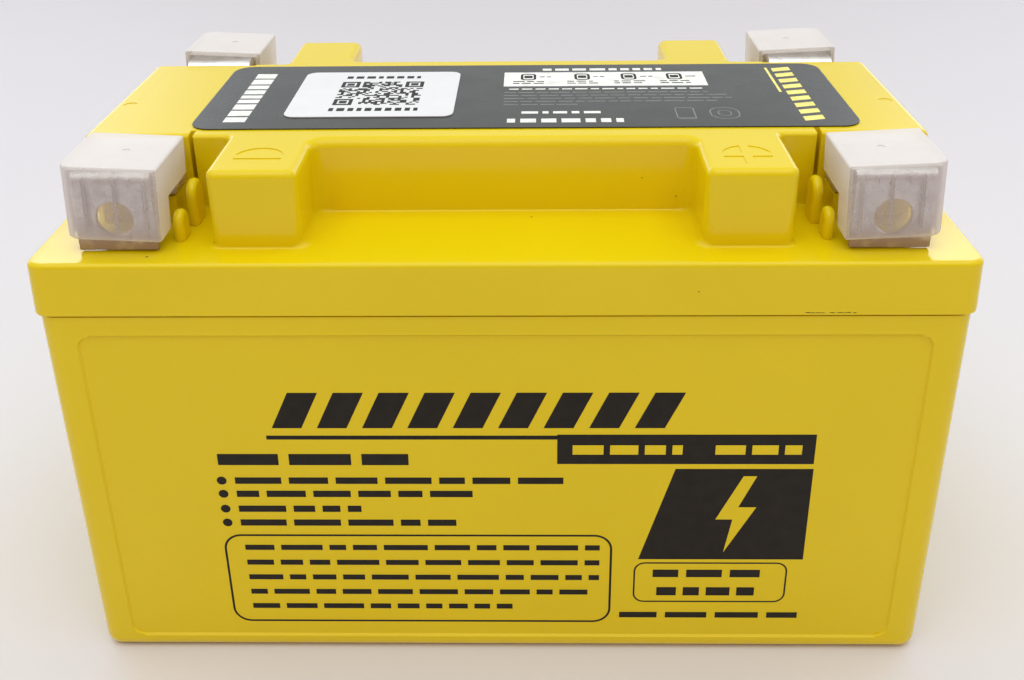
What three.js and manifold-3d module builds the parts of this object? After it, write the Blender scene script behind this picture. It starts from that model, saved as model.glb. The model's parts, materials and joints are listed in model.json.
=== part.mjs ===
// Sealed 12 V motorcycle battery: a moulded case and lid, six lead cells in a row,
// and four corner terminals under pull-off caps.
// Units are millimetres. X runs along the length, Y along the depth (front is -Y) and Z is up.
// The origin is the centre of the bottom face.

import * as THREE from 'three';
import { mergeVertices } from 'three/addons/utils/BufferGeometryUtils.js';
import Module from 'manifold-3d';

const wasm = await Module();
wasm.setup();

// ---------------------------------------------------------------- driving dimensions

const GAP = 0.3; // room left between pieces that touch or are bonded
const ARC_STEPS = 3; // straight steps in a quarter arc
const MERGE_DISTANCE = 1e-4;
const OVERLAP = 1; // how far solids run into each other, or past a face, before they are joined or cut
const SIDES = [-1, 1];

// Lid: the skirt hangs over the case, the shoulder is its flat top, the deck stands on it.
const LID_HALF_X = 75.5;
const LID_HALF_Y = 44;
const LID_CORNER_RADIUS = 2.8;
const LID_EDGE_RADIUS = 1.4;
const LID_DRAFT = 0.3; // how much narrower each side is at the top
const SKIRT_BOTTOM = 70.4;
const SKIRT_WALL = 1.9;
const SHOULDER = 79.6;
const PLATE_UNDERSIDE = 77.3;

// Deck: a tower at each end, a groove beside it, and a wider middle between the blocks.
const DECK_TOP = 92.8;
const DECK_HALF_X = 72;
const DECK_HALF_Y = 20.7;
const FLANK_HALF_Y = 21.2; // from the groove to the block
const MIDDLE_HALF_Y = 23.4; // between the blocks
const GROOVE_INSET = 8; // from the middle of a terminal to the groove beside it
const GROOVE_WIDTH = 0.8;
const GROOVE_INNER_Y = 18.5;
const GROOVE_BOTTOM = 85;
const DECK_CORNER_RADIUS = 1.5;
const DECK_FILLET_RADIUS = 1.2;
const DECK_EDGE_RADIUS = 1.3;
const DECK_WALL = 2.2;

// Blocks: four square pillars that run out from the deck, level with its top.
const BLOCK_INNER_X = 32.1;
const BLOCK_OUTER_X = 46.6;
const REAR_BLOCK_OUTER_X = 45.1;
const BLOCK_OUTER_Y = 38;
const BLOCK_CORNER_RADIUS = 1.6;
const MARK_X = (BLOCK_INNER_X + BLOCK_OUTER_X) / 2;
const MARK_Y = 31.2;
const MARK_RADIUS = 4;
const MARK_DEPTH = 0.25;
const MARK_BAR_HALF = 0.7; // half the width of a polarity bar

// Case: a drafted box, narrower where the lid skirt goes over it.
const CASE_TOP_HALF_X = 75;
const CASE_TOP_HALF_Y = 43.6;
const CASE_DRAFT = 0.2; // how much narrower each side is at the bottom
const CASE_CORNER_RADIUS = 3.2;
const CASE_BOTTOM_RADIUS = 2.4;
const CASE_STEP = SKIRT_BOTTOM - GAP;
const CASE_RIM = PLATE_UNDERSIDE - GAP;
const RIM_HALF_X = LID_HALF_X - SKIRT_WALL - GAP;
const RIM_HALF_Y = LID_HALF_Y - SKIRT_WALL - GAP;
const CASE_FLOOR = 2.6;
const CAVITY_HALF_X = 71.4;
const CAVITY_HALF_Y = 39.9;
const CAVITY_CORNER_RADIUS = 2;
const CAVITY_CORNER_STEPS = 2;
const PANEL_DEPTH = 0.4;
const PANEL_HALF_X = 68.7;
const PANEL_HALF_Y = 37.3;
const PANEL_BOTTOM = 3.4;
const PANEL_TOP = 66.4;
const PANEL_CORNER_RADIUS = 2;
const PANEL_CLEARANCE = 2; // how far the cutting solid stands out of the wall

// Cells: six compartments in a row along X.
const CELL_COUNT = 6;
const PARTITION = 1.6;
const CELL_WIDTH = (2 * CAVITY_HALF_X - (CELL_COUNT - 1) * PARTITION) / CELL_COUNT;
const CELL_PITCH = CELL_WIDTH + PARTITION;

// Plates: three positive between four negative, with glass mat in each of the six gaps.
const POSITIVE_COUNT = 3;
const NEGATIVE_COUNT = 4;
const POSITIVE_THICKNESS = 2;
const NEGATIVE_THICKNESS = 1.6;
const PLATE_HALF_Y = 36.4;
const PLATE_BOTTOM = 4.4;
const PLATE_TOP = 61;
const PLATE_GAP = (CELL_WIDTH - 2 * GAP - POSITIVE_COUNT * POSITIVE_THICKNESS
  - NEGATIVE_COUNT * NEGATIVE_THICKNESS) / (POSITIVE_COUNT + NEGATIVE_COUNT - 1);
const MAT_THICKNESS = PLATE_GAP - 2 * GAP;
const MAT_TOP = 62.5;
const STRAP_Y = 11; // distance of each strap from the middle of the depth
const STRAP_HALF_Y = 5;
const STRAP_BOTTOM = 65;
const STRAP_TOP = 68.5;
const LUG_HALF_Y = 4;
const TAB_THICKNESS = 2;
const TAB_TOP = 75;
const WELD_Z = 71;
const WELD_RADIUS = 3;
const ROUND_SEGMENTS = 20;

// End posts, in line with the front terminals, and the chamber above each of them.
const TERMINAL_X = 61.3;
const REAR_TERMINAL_X = 59.4;
const POST_RADIUS = 4;
const POST_TOP = 84.2;
const BUSHING_INNER_RADIUS = 4.4;
const BUSHING_OUTER_RADIUS = 5.6;
const BUSHING_BOTTOM = 77.8;
const BUSHING_TOP = 83.6;
const CHAMBER_INNER_X = 55.6;
const CHAMBER_OUTER_X = DECK_HALF_X - DECK_WALL;
const CHAMBER_HALF_Y = 17.9;
const CHAMBER_CEILING = 89.9;
const SEAL_BOTTOM = 78.4;
const SEAL_TOP = 82;
const BUSBAR_HALF_X = 4.5;
const BUSBAR_HALF_Y = 16.5;
const BUSBAR_THICKNESS = 1.6;

// Terminals: a strip bent into a hook, with a tongue that runs into the deck.
const STRIP = 1.2;
const STRIP_HALF_X = 6.35;
const STRIP_BEND_RADIUS = 2;
const FRONT_FACE_Y = 39;
const FOOT_FRONT_Y = 27.3;
const BACK_FACE_Y = DECK_HALF_Y + GAP;
const FOOT_BOTTOM = POST_TOP + GAP;
const STRIP_TOP = 93;
const STRIP_BOTTOM = SHOULDER + GAP;
const TONGUE_HALF_X = 4.4;
const TONGUE_TIP_Y = 6.5;
const BOLT_HOLE_RADIUS = 3;
const BOLT_HOLE_Z = 85.2;
const LEDGE_FRONT_Y = 27.5;
const LEDGE_TOP = FOOT_BOTTOM - GAP;

// Retaining tabs beside each terminal, on the side nearer the middle.
const TAB_HALF_X = 0.9;
const SHORT_TAB = { inset: 8.7, nearY: 31.6, farY: 35.6, top: 84.6 };
const TALL_TAB = { inset: 9.3, nearY: 24.2, farY: 29.4, top: 87.2 };

// Terminal caps: an open-backed hood with a leg that drops over the front of the strip.
// They sit loosely and lean a little towards the middle of the battery.
const CAP_TOP = 94.4;
const CAP_WALL = 0.8;
const CAP_HALF_X = 7.75;
const CAP_FRONT_Y = 40.2;
const CAP_LEAN = THREE.MathUtils.degToRad(2.6);
const CAP_LEAN_Z = 88; // height that the cap leans about
const CAP_BACK_Y = 24.3;
const CAP_SIDE_BOTTOM = 87.6;
const CAP_LEG_BOTTOM = 82;
const CAP_LEG_BACK_Y = 34.6;
const CAP_CHAMFER = 1.2;

// Valve chamber: open at the top of the deck, closed by the vent cover.
const VALVE_PITCH = 19.6;
const VALVE_FLOOR = 84.2;
const HEADSPACE_TOP = 81.8;
const VALVE_ROOM_HALF_X = 52.5;
const VALVE_ROOM_HALF_Y = 13.2;
const REBATE_HALF_X = 53.4;
const REBATE_HALF_Y = 15.2;
const REBATE_FLOOR = 90;
const REBATE_CORNER_RADIUS = 2;
const NECK_RADIUS = 1.9;
const NECK_BORE_RADIUS = 0.9;
const NECK_TOP = 88.3;
const RUBBER_INNER_RADIUS = NECK_RADIUS + GAP;
const RUBBER_OUTER_RADIUS = 3.2;
const RUBBER_BOTTOM = VALVE_FLOOR + GAP;
const RUBBER_ROOF = NECK_TOP + GAP;
const RUBBER_TOP = 89.8;
const RUBBER_CHAMFER = 0.5;

// Label and sticker: thin films on the deck.
const LABEL = { minX: -54.4, maxX: 61.4, minY: -18.6, maxY: 18.3, radius: 3.5, thickness: 0.2 };
const STICKER = { minX: -39.2, maxX: -9.1, minY: -13.1, maxY: 13.4, radius: 2, thickness: 0.15 };
const FILM_GAP = 0.05;
const FILM_CORNER_STEPS = 5;

// ---------------------------------------------------------------- materials

function finish(color, roughness, metalness = 0) {
  return new THREE.MeshStandardMaterial({ color, roughness, metalness });
}

const MATERIALS = {
  yellowPlastic: () => finish(0xe8c81c, 0.35),
  ventCover: () => finish(0xd9bb1e, 0.5),
  tinnedMetal: () => finish(0xa9a39a, 0.35, 1),
  frostedPlastic: () => finish(0xe4e1dc, 0.4),
  labelFilm: () => finish(0x55554f, 0.35),
  stickerPaper: () => finish(0xf2f1ec, 0.6),
  rubber: () => finish(0x242424, 0.8),
  lead: () => finish(0x70747a, 0.55, 0.8),
  positivePaste: () => finish(0x4a2f24, 0.85),
  negativePaste: () => finish(0x82868a, 0.8),
  glassMat: () => finish(0xf0f0ea, 0.95),
  resin: () => finish(0x2b2a28, 0.3),
};

// ---------------------------------------------------------------- shape helpers

// Rounds the right-angled corners [x, y, radius] of a counter-clockwise plan.
// A positive inset moves every edge inwards and keeps the number of points.
function roundedOutline(plan, inset = 0, steps = ARC_STEPS) {
  const smallest = 0.02;
  const points = [];
  plan.forEach(([x, y, radius], index) => {
    const before = plan[(index + plan.length - 1) % plan.length];
    const after = plan[(index + 1) % plan.length];
    const into = new THREE.Vector2(x - before[0], y - before[1]).normalize();
    const out = new THREE.Vector2(after[0] - x, after[1] - y).normalize();
    const inwardIn = new THREE.Vector2(-into.y, into.x);
    const inwardOut = new THREE.Vector2(-out.y, out.x);
    const turn = Math.sign(into.cross(out));
    const arcRadius = Math.max(radius - turn * inset, smallest);
    const centre = new THREE.Vector2(x, y)
      .addScaledVector(inwardIn, inset + turn * arcRadius)
      .addScaledVector(inwardOut, inset)
      .addScaledVector(into, -arcRadius);
    for (let step = 0; step <= steps; step += 1) {
      const angle = (step / steps) * (Math.PI / 2);
      points.push(centre.clone()
        .addScaledVector(inwardIn, -turn * arcRadius * Math.cos(angle))
        .addScaledVector(into, arcRadius * Math.sin(angle)));
    }
  });
  return points;
}

function rectangle(minX, maxX, minY, maxY, radius) {
  return [[minX, minY, radius], [maxX, minY, radius], [maxX, maxY, radius], [minX, maxY, radius]];
}

function centredRectangle(halfX, halfY, radius) {
  return rectangle(-halfX, halfX, -halfY, halfY, radius);
}

// Joins outlines of equal length, stacked upwards, into one closed body.
function loft(layers) {
  const count = layers[0].points.length;
  const positions = layers.flatMap(({ z, points }) => points.flatMap((point) => [point.x, point.y, z]));
  const indices = [];
  for (let layer = 0; layer < layers.length - 1; layer += 1) {
    for (let index = 0; index < count; index += 1) {
      const here = layer * count + index;
      const next = layer * count + ((index + 1) % count);
      indices.push(here, next, next + count, here, next + count, here + count);
    }
  }
  const topStart = (layers.length - 1) * count;
  for (const [a, b, c] of THREE.ShapeUtils.triangulateShape(layers[0].points, [])) {
    indices.push(c, b, a);
    indices.push(a + topStart, b + topStart, c + topStart);
  }
  const geometry = new THREE.BufferGeometry();
  geometry.setAttribute('position', new THREE.Float32BufferAttribute(positions, 3));
  geometry.setIndex(indices);
  return geometry;
}

function prism(plan, bottom, top, steps = ARC_STEPS) {
  const points = roundedOutline(plan, 0, steps);
  return loft([{ z: bottom, points }, { z: top, points }]);
}

// A prism whose top edge is rounded over. A draft makes its sides lean in by that much.
function roundedPrism(plan, bottom, top, edgeRadius, steps = ARC_STEPS, draft = 0) {
  const layers = [{ z: bottom, points: roundedOutline(plan, 0, steps) }];
  for (let step = 0; step <= steps; step += 1) {
    const angle = (step / steps) * (Math.PI / 2);
    layers.push({
      z: top - edgeRadius * (1 - Math.sin(angle)),
      points: roundedOutline(plan, draft + edgeRadius * (1 - Math.cos(angle)), steps),
    });
  }
  return loft(layers);
}

function box(minX, maxX, minY, maxY, minZ, maxZ) {
  const geometry = new THREE.BoxGeometry(maxX - minX, maxY - minY, maxZ - minZ);
  return geometry.translate((minX + maxX) / 2, (minY + maxY) / 2, (minZ + maxZ) / 2);
}

// A box given by distances from the middle of the object, put on the side that the signs say.
function sidedBox(signX, signY, nearX, farX, nearY, farY, minZ, maxZ) {
  const [x0, x1] = [signX * nearX, signX * farX].sort((a, b) => a - b);
  const [y0, y1] = [signY * nearY, signY * farY].sort((a, b) => a - b);
  return box(x0, x1, y0, y1, minZ, maxZ);
}

function uprightCylinder(x, y, radius, bottom, top) {
  const geometry = new THREE.CylinderGeometry(radius, radius, top - bottom, ROUND_SEGMENTS);
  return geometry.rotateX(Math.PI / 2).translate(x, y, (bottom + top) / 2);
}

function cylinderAlongX(centreX, y, z, radius, length) {
  const geometry = new THREE.CylinderGeometry(radius, radius, length, ROUND_SEGMENTS);
  return geometry.rotateZ(Math.PI / 2).translate(centreX, y, z);
}

// ---------------------------------------------------------------- solids

function solid(geometry) {
  const bare = geometry.clone();
  bare.deleteAttribute('normal');
  bare.deleteAttribute('uv');
  const merged = mergeVertices(bare, MERGE_DISTANCE);
  return new wasm.Manifold(new wasm.Mesh({
    numProp: 3,
    vertProperties: new Float32Array(merged.attributes.position.array),
    triVerts: new Uint32Array(merged.index.array),
  }));
}

function joined(first, ...others) {
  return others.reduce((result, geometry) => result.add(solid(geometry)), solid(first));
}

function cutAway(body, ...geometries) {
  return geometries.reduce((result, geometry) => result.subtract(solid(geometry)), body);
}

function toGeometry(body) {
  const mesh = body.getMesh();
  const geometry = new THREE.BufferGeometry();
  geometry.setAttribute('position', new THREE.BufferAttribute(new Float32Array(mesh.vertProperties), 3));
  geometry.setIndex(new THREE.BufferAttribute(new Uint32Array(mesh.triVerts), 1));
  geometry.computeVertexNormals();
  return geometry;
}

const battery = new THREE.Group();

function addPiece(name, geometry, material) {
  const mesh = new THREE.Mesh(geometry, material());
  mesh.name = name;
  battery.add(mesh);
  return mesh;
}

// ---------------------------------------------------------------- layout

// Cell 0 is at -X. Its plates, straps and welds follow from its centre.
function cellCentre(cell) {
  return (cell - (CELL_COUNT - 1) / 2) * CELL_PITCH;
}

// The straps change sides from cell to cell, so that a weld joins straps in line with each other.
function negativeSide(cell) {
  return cell % 2 === 0 ? -1 : 1;
}

// Every plate of a cell from left to right: negative outside, then alternating.
function plateStack(cell) {
  const stack = [];
  let left = cellCentre(cell) - CELL_WIDTH / 2 + GAP;
  for (let index = 0; index < POSITIVE_COUNT + NEGATIVE_COUNT; index += 1) {
    const negative = index % 2 === 0;
    const thickness = negative ? NEGATIVE_THICKNESS : POSITIVE_THICKNESS;
    stack.push({ negative, minX: left, maxX: left + thickness });
    left += thickness + PLATE_GAP;
  }
  return stack;
}

function valveX(cell) {
  return (cell - (CELL_COUNT - 1) / 2) * VALVE_PITCH;
}

const frontCorners = [
  { place: 'front_left', signX: -1, signY: -1, terminalX: TERMINAL_X, blockOuterX: BLOCK_OUTER_X },
  { place: 'front_right', signX: 1, signY: -1, terminalX: TERMINAL_X, blockOuterX: BLOCK_OUTER_X },
];
const corners = [
  ...frontCorners,
  { place: 'rear_left', signX: -1, signY: 1, terminalX: REAR_TERMINAL_X, blockOuterX: REAR_BLOCK_OUTER_X },
  { place: 'rear_right', signX: 1, signY: 1, terminalX: REAR_TERMINAL_X, blockOuterX: REAR_BLOCK_OUTER_X },
];

const ends = [
  { polarity: 'negative', signX: -1 },
  { polarity: 'positive', signX: 1 },
];

// ---------------------------------------------------------------- case

function caseShell() {
  const bottomHalfX = CASE_TOP_HALF_X - CASE_DRAFT;
  const bottomHalfY = CASE_TOP_HALF_Y - CASE_DRAFT;
  const layers = [];
  for (let step = 0; step <= ARC_STEPS; step += 1) {
    const angle = (step / ARC_STEPS) * (Math.PI / 2);
    const inset = CASE_BOTTOM_RADIUS * (1 - Math.sin(angle));
    layers.push({
      z: CASE_BOTTOM_RADIUS * (1 - Math.cos(angle)),
      points: roundedOutline(centredRectangle(bottomHalfX, bottomHalfY, CASE_CORNER_RADIUS), inset),
    });
  }
  layers.push({
    z: CASE_STEP,
    points: roundedOutline(centredRectangle(CASE_TOP_HALF_X, CASE_TOP_HALF_Y, CASE_CORNER_RADIUS)),
  });
  const shell = joined(
    loft(layers),
    prism(centredRectangle(RIM_HALF_X, RIM_HALF_Y, CASE_CORNER_RADIUS), CASE_STEP - OVERLAP, CASE_RIM),
  );
  return cutAway(shell, ...compartments(), ...casePanels(), ...partitionHoles());
}

function compartments() {
  return Array.from({ length: CELL_COUNT }, (_, cell) => {
    const centre = cellCentre(cell);
    const plan = rectangle(
      centre - CELL_WIDTH / 2,
      centre + CELL_WIDTH / 2,
      -CAVITY_HALF_Y,
      CAVITY_HALF_Y,
      CAVITY_CORNER_RADIUS,
    );
    return prism(plan, CASE_FLOOR, CASE_RIM + OVERLAP, CAVITY_CORNER_STEPS);
  });
}

function draftedHalf(topHalf, z) {
  return topHalf - CASE_DRAFT * (1 - z / CASE_STEP);
}

// A shallow sunk panel that leans with the draft of its wall. It is drawn with its height as Y.
function sunkPanel(halfWidth, topHalf, turn) {
  const plan = rectangle(-halfWidth, halfWidth, PANEL_BOTTOM, PANEL_TOP, PANEL_CORNER_RADIUS);
  const frame = roundedOutline(plan);
  const panel = loft([{ z: -PANEL_DEPTH, points: frame }, { z: PANEL_CLEARANCE, points: frame }]);
  const position = panel.attributes.position;
  for (let index = 0; index < position.count; index += 1) {
    const height = position.getY(index);
    const outward = draftedHalf(topHalf, height) + position.getZ(index);
    position.setXYZ(index, position.getX(index), -outward, height);
  }
  return panel.rotateZ(turn);
}

function casePanels() {
  return [
    sunkPanel(PANEL_HALF_X, CASE_TOP_HALF_Y, 0),
    sunkPanel(PANEL_HALF_X, CASE_TOP_HALF_Y, Math.PI),
    sunkPanel(PANEL_HALF_Y, CASE_TOP_HALF_X, Math.PI / 2),
    sunkPanel(PANEL_HALF_Y, CASE_TOP_HALF_X, -Math.PI / 2),
  ];
}

// Weld n joins cell n - 1 to cell n, on the positive side of the first.
function weldPlace(weld) {
  return {
    x: (cellCentre(weld - 1) + cellCentre(weld)) / 2,
    y: -negativeSide(weld - 1) * STRAP_Y,
  };
}

function partitionHoles() {
  return Array.from({ length: CELL_COUNT - 1 }, (_, index) => {
    const { x, y } = weldPlace(index + 1);
    return cylinderAlongX(x, y, WELD_Z, WELD_RADIUS + GAP, PARTITION + OVERLAP);
  });
}

addPiece('case', toGeometry(caseShell()), MATERIALS.yellowPlastic);

// ---------------------------------------------------------------- lid

function deckPlan() {
  const quarter = ({ signX, signY, terminalX, blockOuterX }) => [
    [DECK_HALF_X, DECK_HALF_Y, DECK_CORNER_RADIUS],
    [terminalX - GROOVE_INSET, DECK_HALF_Y, 0],
    [terminalX - GROOVE_INSET, FLANK_HALF_Y, 0],
    [blockOuterX, FLANK_HALF_Y, DECK_FILLET_RADIUS],
    [blockOuterX, BLOCK_OUTER_Y, BLOCK_CORNER_RADIUS],
    [BLOCK_INNER_X, BLOCK_OUTER_Y, BLOCK_CORNER_RADIUS],
    [BLOCK_INNER_X, MIDDLE_HALF_Y, DECK_FILLET_RADIUS],
  ].map(([x, y, radius]) => [signX * x, signY * y, radius]);
  const [frontLeft, frontRight, rearLeft, rearRight] = corners.map(quarter);
  return [...rearRight, ...rearLeft.reverse(), ...frontLeft, ...frontRight.reverse()];
}

function skirtBody() {
  return roundedPrism(
    centredRectangle(LID_HALF_X, LID_HALF_Y, LID_CORNER_RADIUS),
    SKIRT_BOTTOM,
    SHOULDER,
    LID_EDGE_RADIUS,
    ARC_STEPS,
    LID_DRAFT,
  );
}

function skirtCavity() {
  const plan = centredRectangle(LID_HALF_X - SKIRT_WALL, LID_HALF_Y - SKIRT_WALL, CASE_CORNER_RADIUS);
  return prism(plan, SKIRT_BOTTOM - OVERLAP, PLATE_UNDERSIDE);
}

// Room above each cell, between ribs that stand over the case partitions.
// In the end cells a wall parts it from the busbar chamber.
function headspaces() {
  const outermost = CHAMBER_INNER_X - DECK_WALL;
  return Array.from({ length: CELL_COUNT }, (_, cell) => {
    const centre = cellCentre(cell);
    const minX = Math.max(centre - CELL_WIDTH / 2, -outermost);
    const maxX = Math.min(centre + CELL_WIDTH / 2, outermost);
    return box(minX, maxX, -CHAMBER_HALF_Y, CHAMBER_HALF_Y, PLATE_UNDERSIDE - OVERLAP, HEADSPACE_TOP);
  });
}

function busbarChamber(signX) {
  const span = [CHAMBER_INNER_X, CHAMBER_OUTER_X, -CHAMBER_HALF_Y, CHAMBER_HALF_Y];
  return sidedBox(signX, 1, ...span, PLATE_UNDERSIDE - OVERLAP, CHAMBER_CEILING);
}

function blockCore({ signX, signY, blockOuterX }) {
  return sidedBox(
    signX,
    signY,
    BLOCK_INNER_X + DECK_WALL,
    blockOuterX - DECK_WALL,
    MIDDLE_HALF_Y + DECK_WALL,
    BLOCK_OUTER_Y - DECK_WALL,
    PLATE_UNDERSIDE - OVERLAP,
    DECK_TOP - DECK_WALL,
  );
}

function grooveCut({ signX, signY, terminalX }) {
  const nearX = terminalX - GROOVE_INSET - GROOVE_WIDTH / 2;
  const span = [nearX, nearX + GROOVE_WIDTH, GROOVE_INNER_Y, BLOCK_OUTER_Y];
  return sidedBox(signX, signY, ...span, GROOVE_BOTTOM, DECK_TOP + OVERLAP);
}

// The window in the deck wall that the terminal's tongue passes through.
function tongueWindow({ signX, signY }) {
  return sidedBox(
    signX,
    signY,
    TERMINAL_X - TONGUE_HALF_X - GAP,
    TERMINAL_X + TONGUE_HALF_X + GAP,
    CHAMBER_HALF_Y - OVERLAP,
    DECK_HALF_Y + OVERLAP,
    FOOT_BOTTOM - GAP,
    FOOT_BOTTOM + STRIP + GAP,
  );
}

function ledge({ signX, signY, terminalX }) {
  return sidedBox(
    signX,
    signY,
    terminalX - STRIP_HALF_X,
    terminalX + STRIP_HALF_X,
    DECK_HALF_Y - OVERLAP,
    LEDGE_FRONT_Y,
    SHOULDER - OVERLAP,
    LEDGE_TOP,
  );
}

// A retaining tab is an upright fin with a round top, seen from the side.
function fin({ signX, signY, terminalX }, { inset, nearY, farY, top }) {
  const radius = (farY - nearY) / 2;
  const shape = new THREE.Shape();
  shape.moveTo(nearY, SHOULDER - OVERLAP);
  shape.lineTo(farY, SHOULDER - OVERLAP);
  shape.lineTo(farY, top - radius);
  shape.absarc(nearY + radius, top - radius, radius, 0, Math.PI, false);
  shape.closePath();
  const geometry = profileAlongX(shape, TAB_HALF_X);
  if (signY > 0) {
    geometry.rotateZ(Math.PI);
  }
  return geometry.translate(signX * (terminalX - inset), 0, 0);
}

function ring(x, y, outer, inner, bottom, top) {
  return cutAway(
    joined(uprightCylinder(x, y, outer, bottom, top)),
    uprightCylinder(x, y, inner, bottom - OVERLAP, top + OVERLAP),
  );
}

// The sunk polarity sign on a block: a round dish with a level bar across it, and a second bar for plus.
function polarityDish({ signX, signY }) {
  const x = signX * MARK_X;
  const y = signY * MARK_Y;
  const bottom = DECK_TOP - MARK_DEPTH;
  const top = DECK_TOP + OVERLAP;
  const dish = joined(uprightCylinder(x, y, MARK_RADIUS, bottom, top));
  const reach = MARK_RADIUS + OVERLAP;
  const height = [bottom - OVERLAP, top + OVERLAP];
  const bar = (halfX, halfY) => box(x - halfX, x + halfX, y - halfY, y + halfY, ...height);
  const bars = [bar(reach, MARK_BAR_HALF)];
  if (signX > 0) {
    bars.push(bar(MARK_BAR_HALF, reach));
  }
  return cutAway(dish, ...bars);
}

function valveRoom() {
  const room = centredRectangle(VALVE_ROOM_HALF_X, VALVE_ROOM_HALF_Y, REBATE_CORNER_RADIUS);
  const rebate = centredRectangle(REBATE_HALF_X, REBATE_HALF_Y, REBATE_CORNER_RADIUS);
  return [
    prism(room, VALVE_FLOOR, DECK_TOP + OVERLAP),
    prism(rebate, REBATE_FLOOR, DECK_TOP + OVERLAP),
  ];
}

function neck(cell) {
  return uprightCylinder(valveX(cell), 0, NECK_RADIUS, VALVE_FLOOR - OVERLAP, NECK_TOP);
}

function neckBore(cell) {
  return uprightCylinder(valveX(cell), 0, NECK_BORE_RADIUS, HEADSPACE_TOP - OVERLAP, NECK_TOP + OVERLAP);
}

function lidMoulding() {
  const cells = Array.from({ length: CELL_COUNT }, (_, cell) => cell);
  let lid = joined(
    skirtBody(),
    roundedPrism(deckPlan(), SHOULDER - OVERLAP, DECK_TOP, DECK_EDGE_RADIUS),
    ...corners.map(ledge),
    ...corners.map((corner) => fin(corner, SHORT_TAB)),
    ...corners.map((corner) => fin(corner, TALL_TAB)),
  );
  for (const corner of frontCorners) {
    lid = lid.subtract(polarityDish(corner));
  }
  lid = cutAway(lid, skirtCavity(), ...headspaces(), ...valveRoom());
  lid = cutAway(lid, ...SIDES.map(busbarChamber), ...corners.map(blockCore));
  lid = cutAway(lid, ...frontCorners.map(grooveCut), ...corners.map(tongueWindow));
  for (const cell of cells) {
    lid = cutAway(lid.add(solid(neck(cell))), neckBore(cell));
  }
  return lid;
}

addPiece('lid', toGeometry(lidMoulding()), MATERIALS.yellowPlastic);

// ---------------------------------------------------------------- cover, label and sticker

function ventCover() {
  const plan = centredRectangle(REBATE_HALF_X - GAP, REBATE_HALF_Y - GAP, REBATE_CORNER_RADIUS);
  return prism(plan, REBATE_FLOOR + GAP, DECK_TOP);
}

function film({ minX, maxX, minY, maxY, radius, thickness }, bottom) {
  return prism(rectangle(minX, maxX, minY, maxY, radius), bottom, bottom + thickness, FILM_CORNER_STEPS);
}

const labelBottom = DECK_TOP + FILM_GAP;
const stickerBottom = labelBottom + LABEL.thickness + FILM_GAP;

addPiece('vent_cover', ventCover(), MATERIALS.ventCover);
addPiece('top_label', film(LABEL, labelBottom), MATERIALS.labelFilm);
addPiece('data_sticker', film(STICKER, stickerBottom), MATERIALS.stickerPaper);

// ---------------------------------------------------------------- terminals and their caps

// Every terminal is drawn for the front, centred on X = 0, and turned half round for the rear.
function placeAtCorner(mesh, { signX, signY, terminalX }) {
  mesh.position.x = signX * terminalX;
  mesh.rotation.z = signY < 0 ? 0 : Math.PI;
}

// Turns a profile drawn in depth (forwards) and height into a bar along X.
function profileAlongX(shape, halfWidth) {
  const geometry = new THREE.ExtrudeGeometry(shape, {
    depth: 2 * halfWidth,
    bevelEnabled: false,
    curveSegments: ARC_STEPS + 1,
  });
  geometry.translate(0, 0, -halfWidth);
  geometry.rotateX(Math.PI / 2);
  return geometry.rotateZ(-Math.PI / 2);
}

// The hook: foot, back, top and front of one strip, with rounded outer bends.
function hookProfile() {
  const radius = STRIP_BEND_RADIUS;
  const inner = radius - STRIP;
  const shape = new THREE.Shape();
  shape.moveTo(FOOT_FRONT_Y, FOOT_BOTTOM);
  shape.lineTo(FOOT_FRONT_Y, FOOT_BOTTOM + STRIP);
  shape.lineTo(BACK_FACE_Y + STRIP, FOOT_BOTTOM + STRIP);
  shape.lineTo(BACK_FACE_Y + STRIP, STRIP_TOP - radius);
  shape.absarc(BACK_FACE_Y + radius, STRIP_TOP - radius, inner, Math.PI, Math.PI / 2, true);
  shape.lineTo(FRONT_FACE_Y - radius, STRIP_TOP - STRIP);
  shape.absarc(FRONT_FACE_Y - radius, STRIP_TOP - radius, inner, Math.PI / 2, 0, true);
  shape.lineTo(FRONT_FACE_Y - STRIP, STRIP_BOTTOM);
  shape.lineTo(FRONT_FACE_Y, STRIP_BOTTOM);
  shape.lineTo(FRONT_FACE_Y, STRIP_TOP - radius);
  shape.absarc(FRONT_FACE_Y - radius, STRIP_TOP - radius, radius, 0, Math.PI / 2, false);
  shape.lineTo(BACK_FACE_Y + radius, STRIP_TOP);
  shape.absarc(BACK_FACE_Y + radius, STRIP_TOP - radius, radius, Math.PI / 2, Math.PI, false);
  shape.lineTo(BACK_FACE_Y, FOOT_BOTTOM);
  shape.closePath();
  return shape;
}

// The tongue is in line with the end post, whichever way the strip is turned.
function terminalBody({ signX, signY, terminalX }) {
  const offset = -signX * signY * (TERMINAL_X - terminalX);
  const tongue = box(
    offset - TONGUE_HALF_X,
    offset + TONGUE_HALF_X,
    -(BACK_FACE_Y + STRIP),
    -TONGUE_TIP_Y,
    FOOT_BOTTOM,
    FOOT_BOTTOM + STRIP,
  );
  const hole = new THREE.CylinderGeometry(BOLT_HOLE_RADIUS, BOLT_HOLE_RADIUS, 2 * STRIP, ROUND_SEGMENTS);
  hole.translate(0, -FRONT_FACE_Y, BOLT_HOLE_Z);
  return cutAway(joined(profileAlongX(hookProfile(), STRIP_HALF_X), tongue), hole);
}

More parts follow.
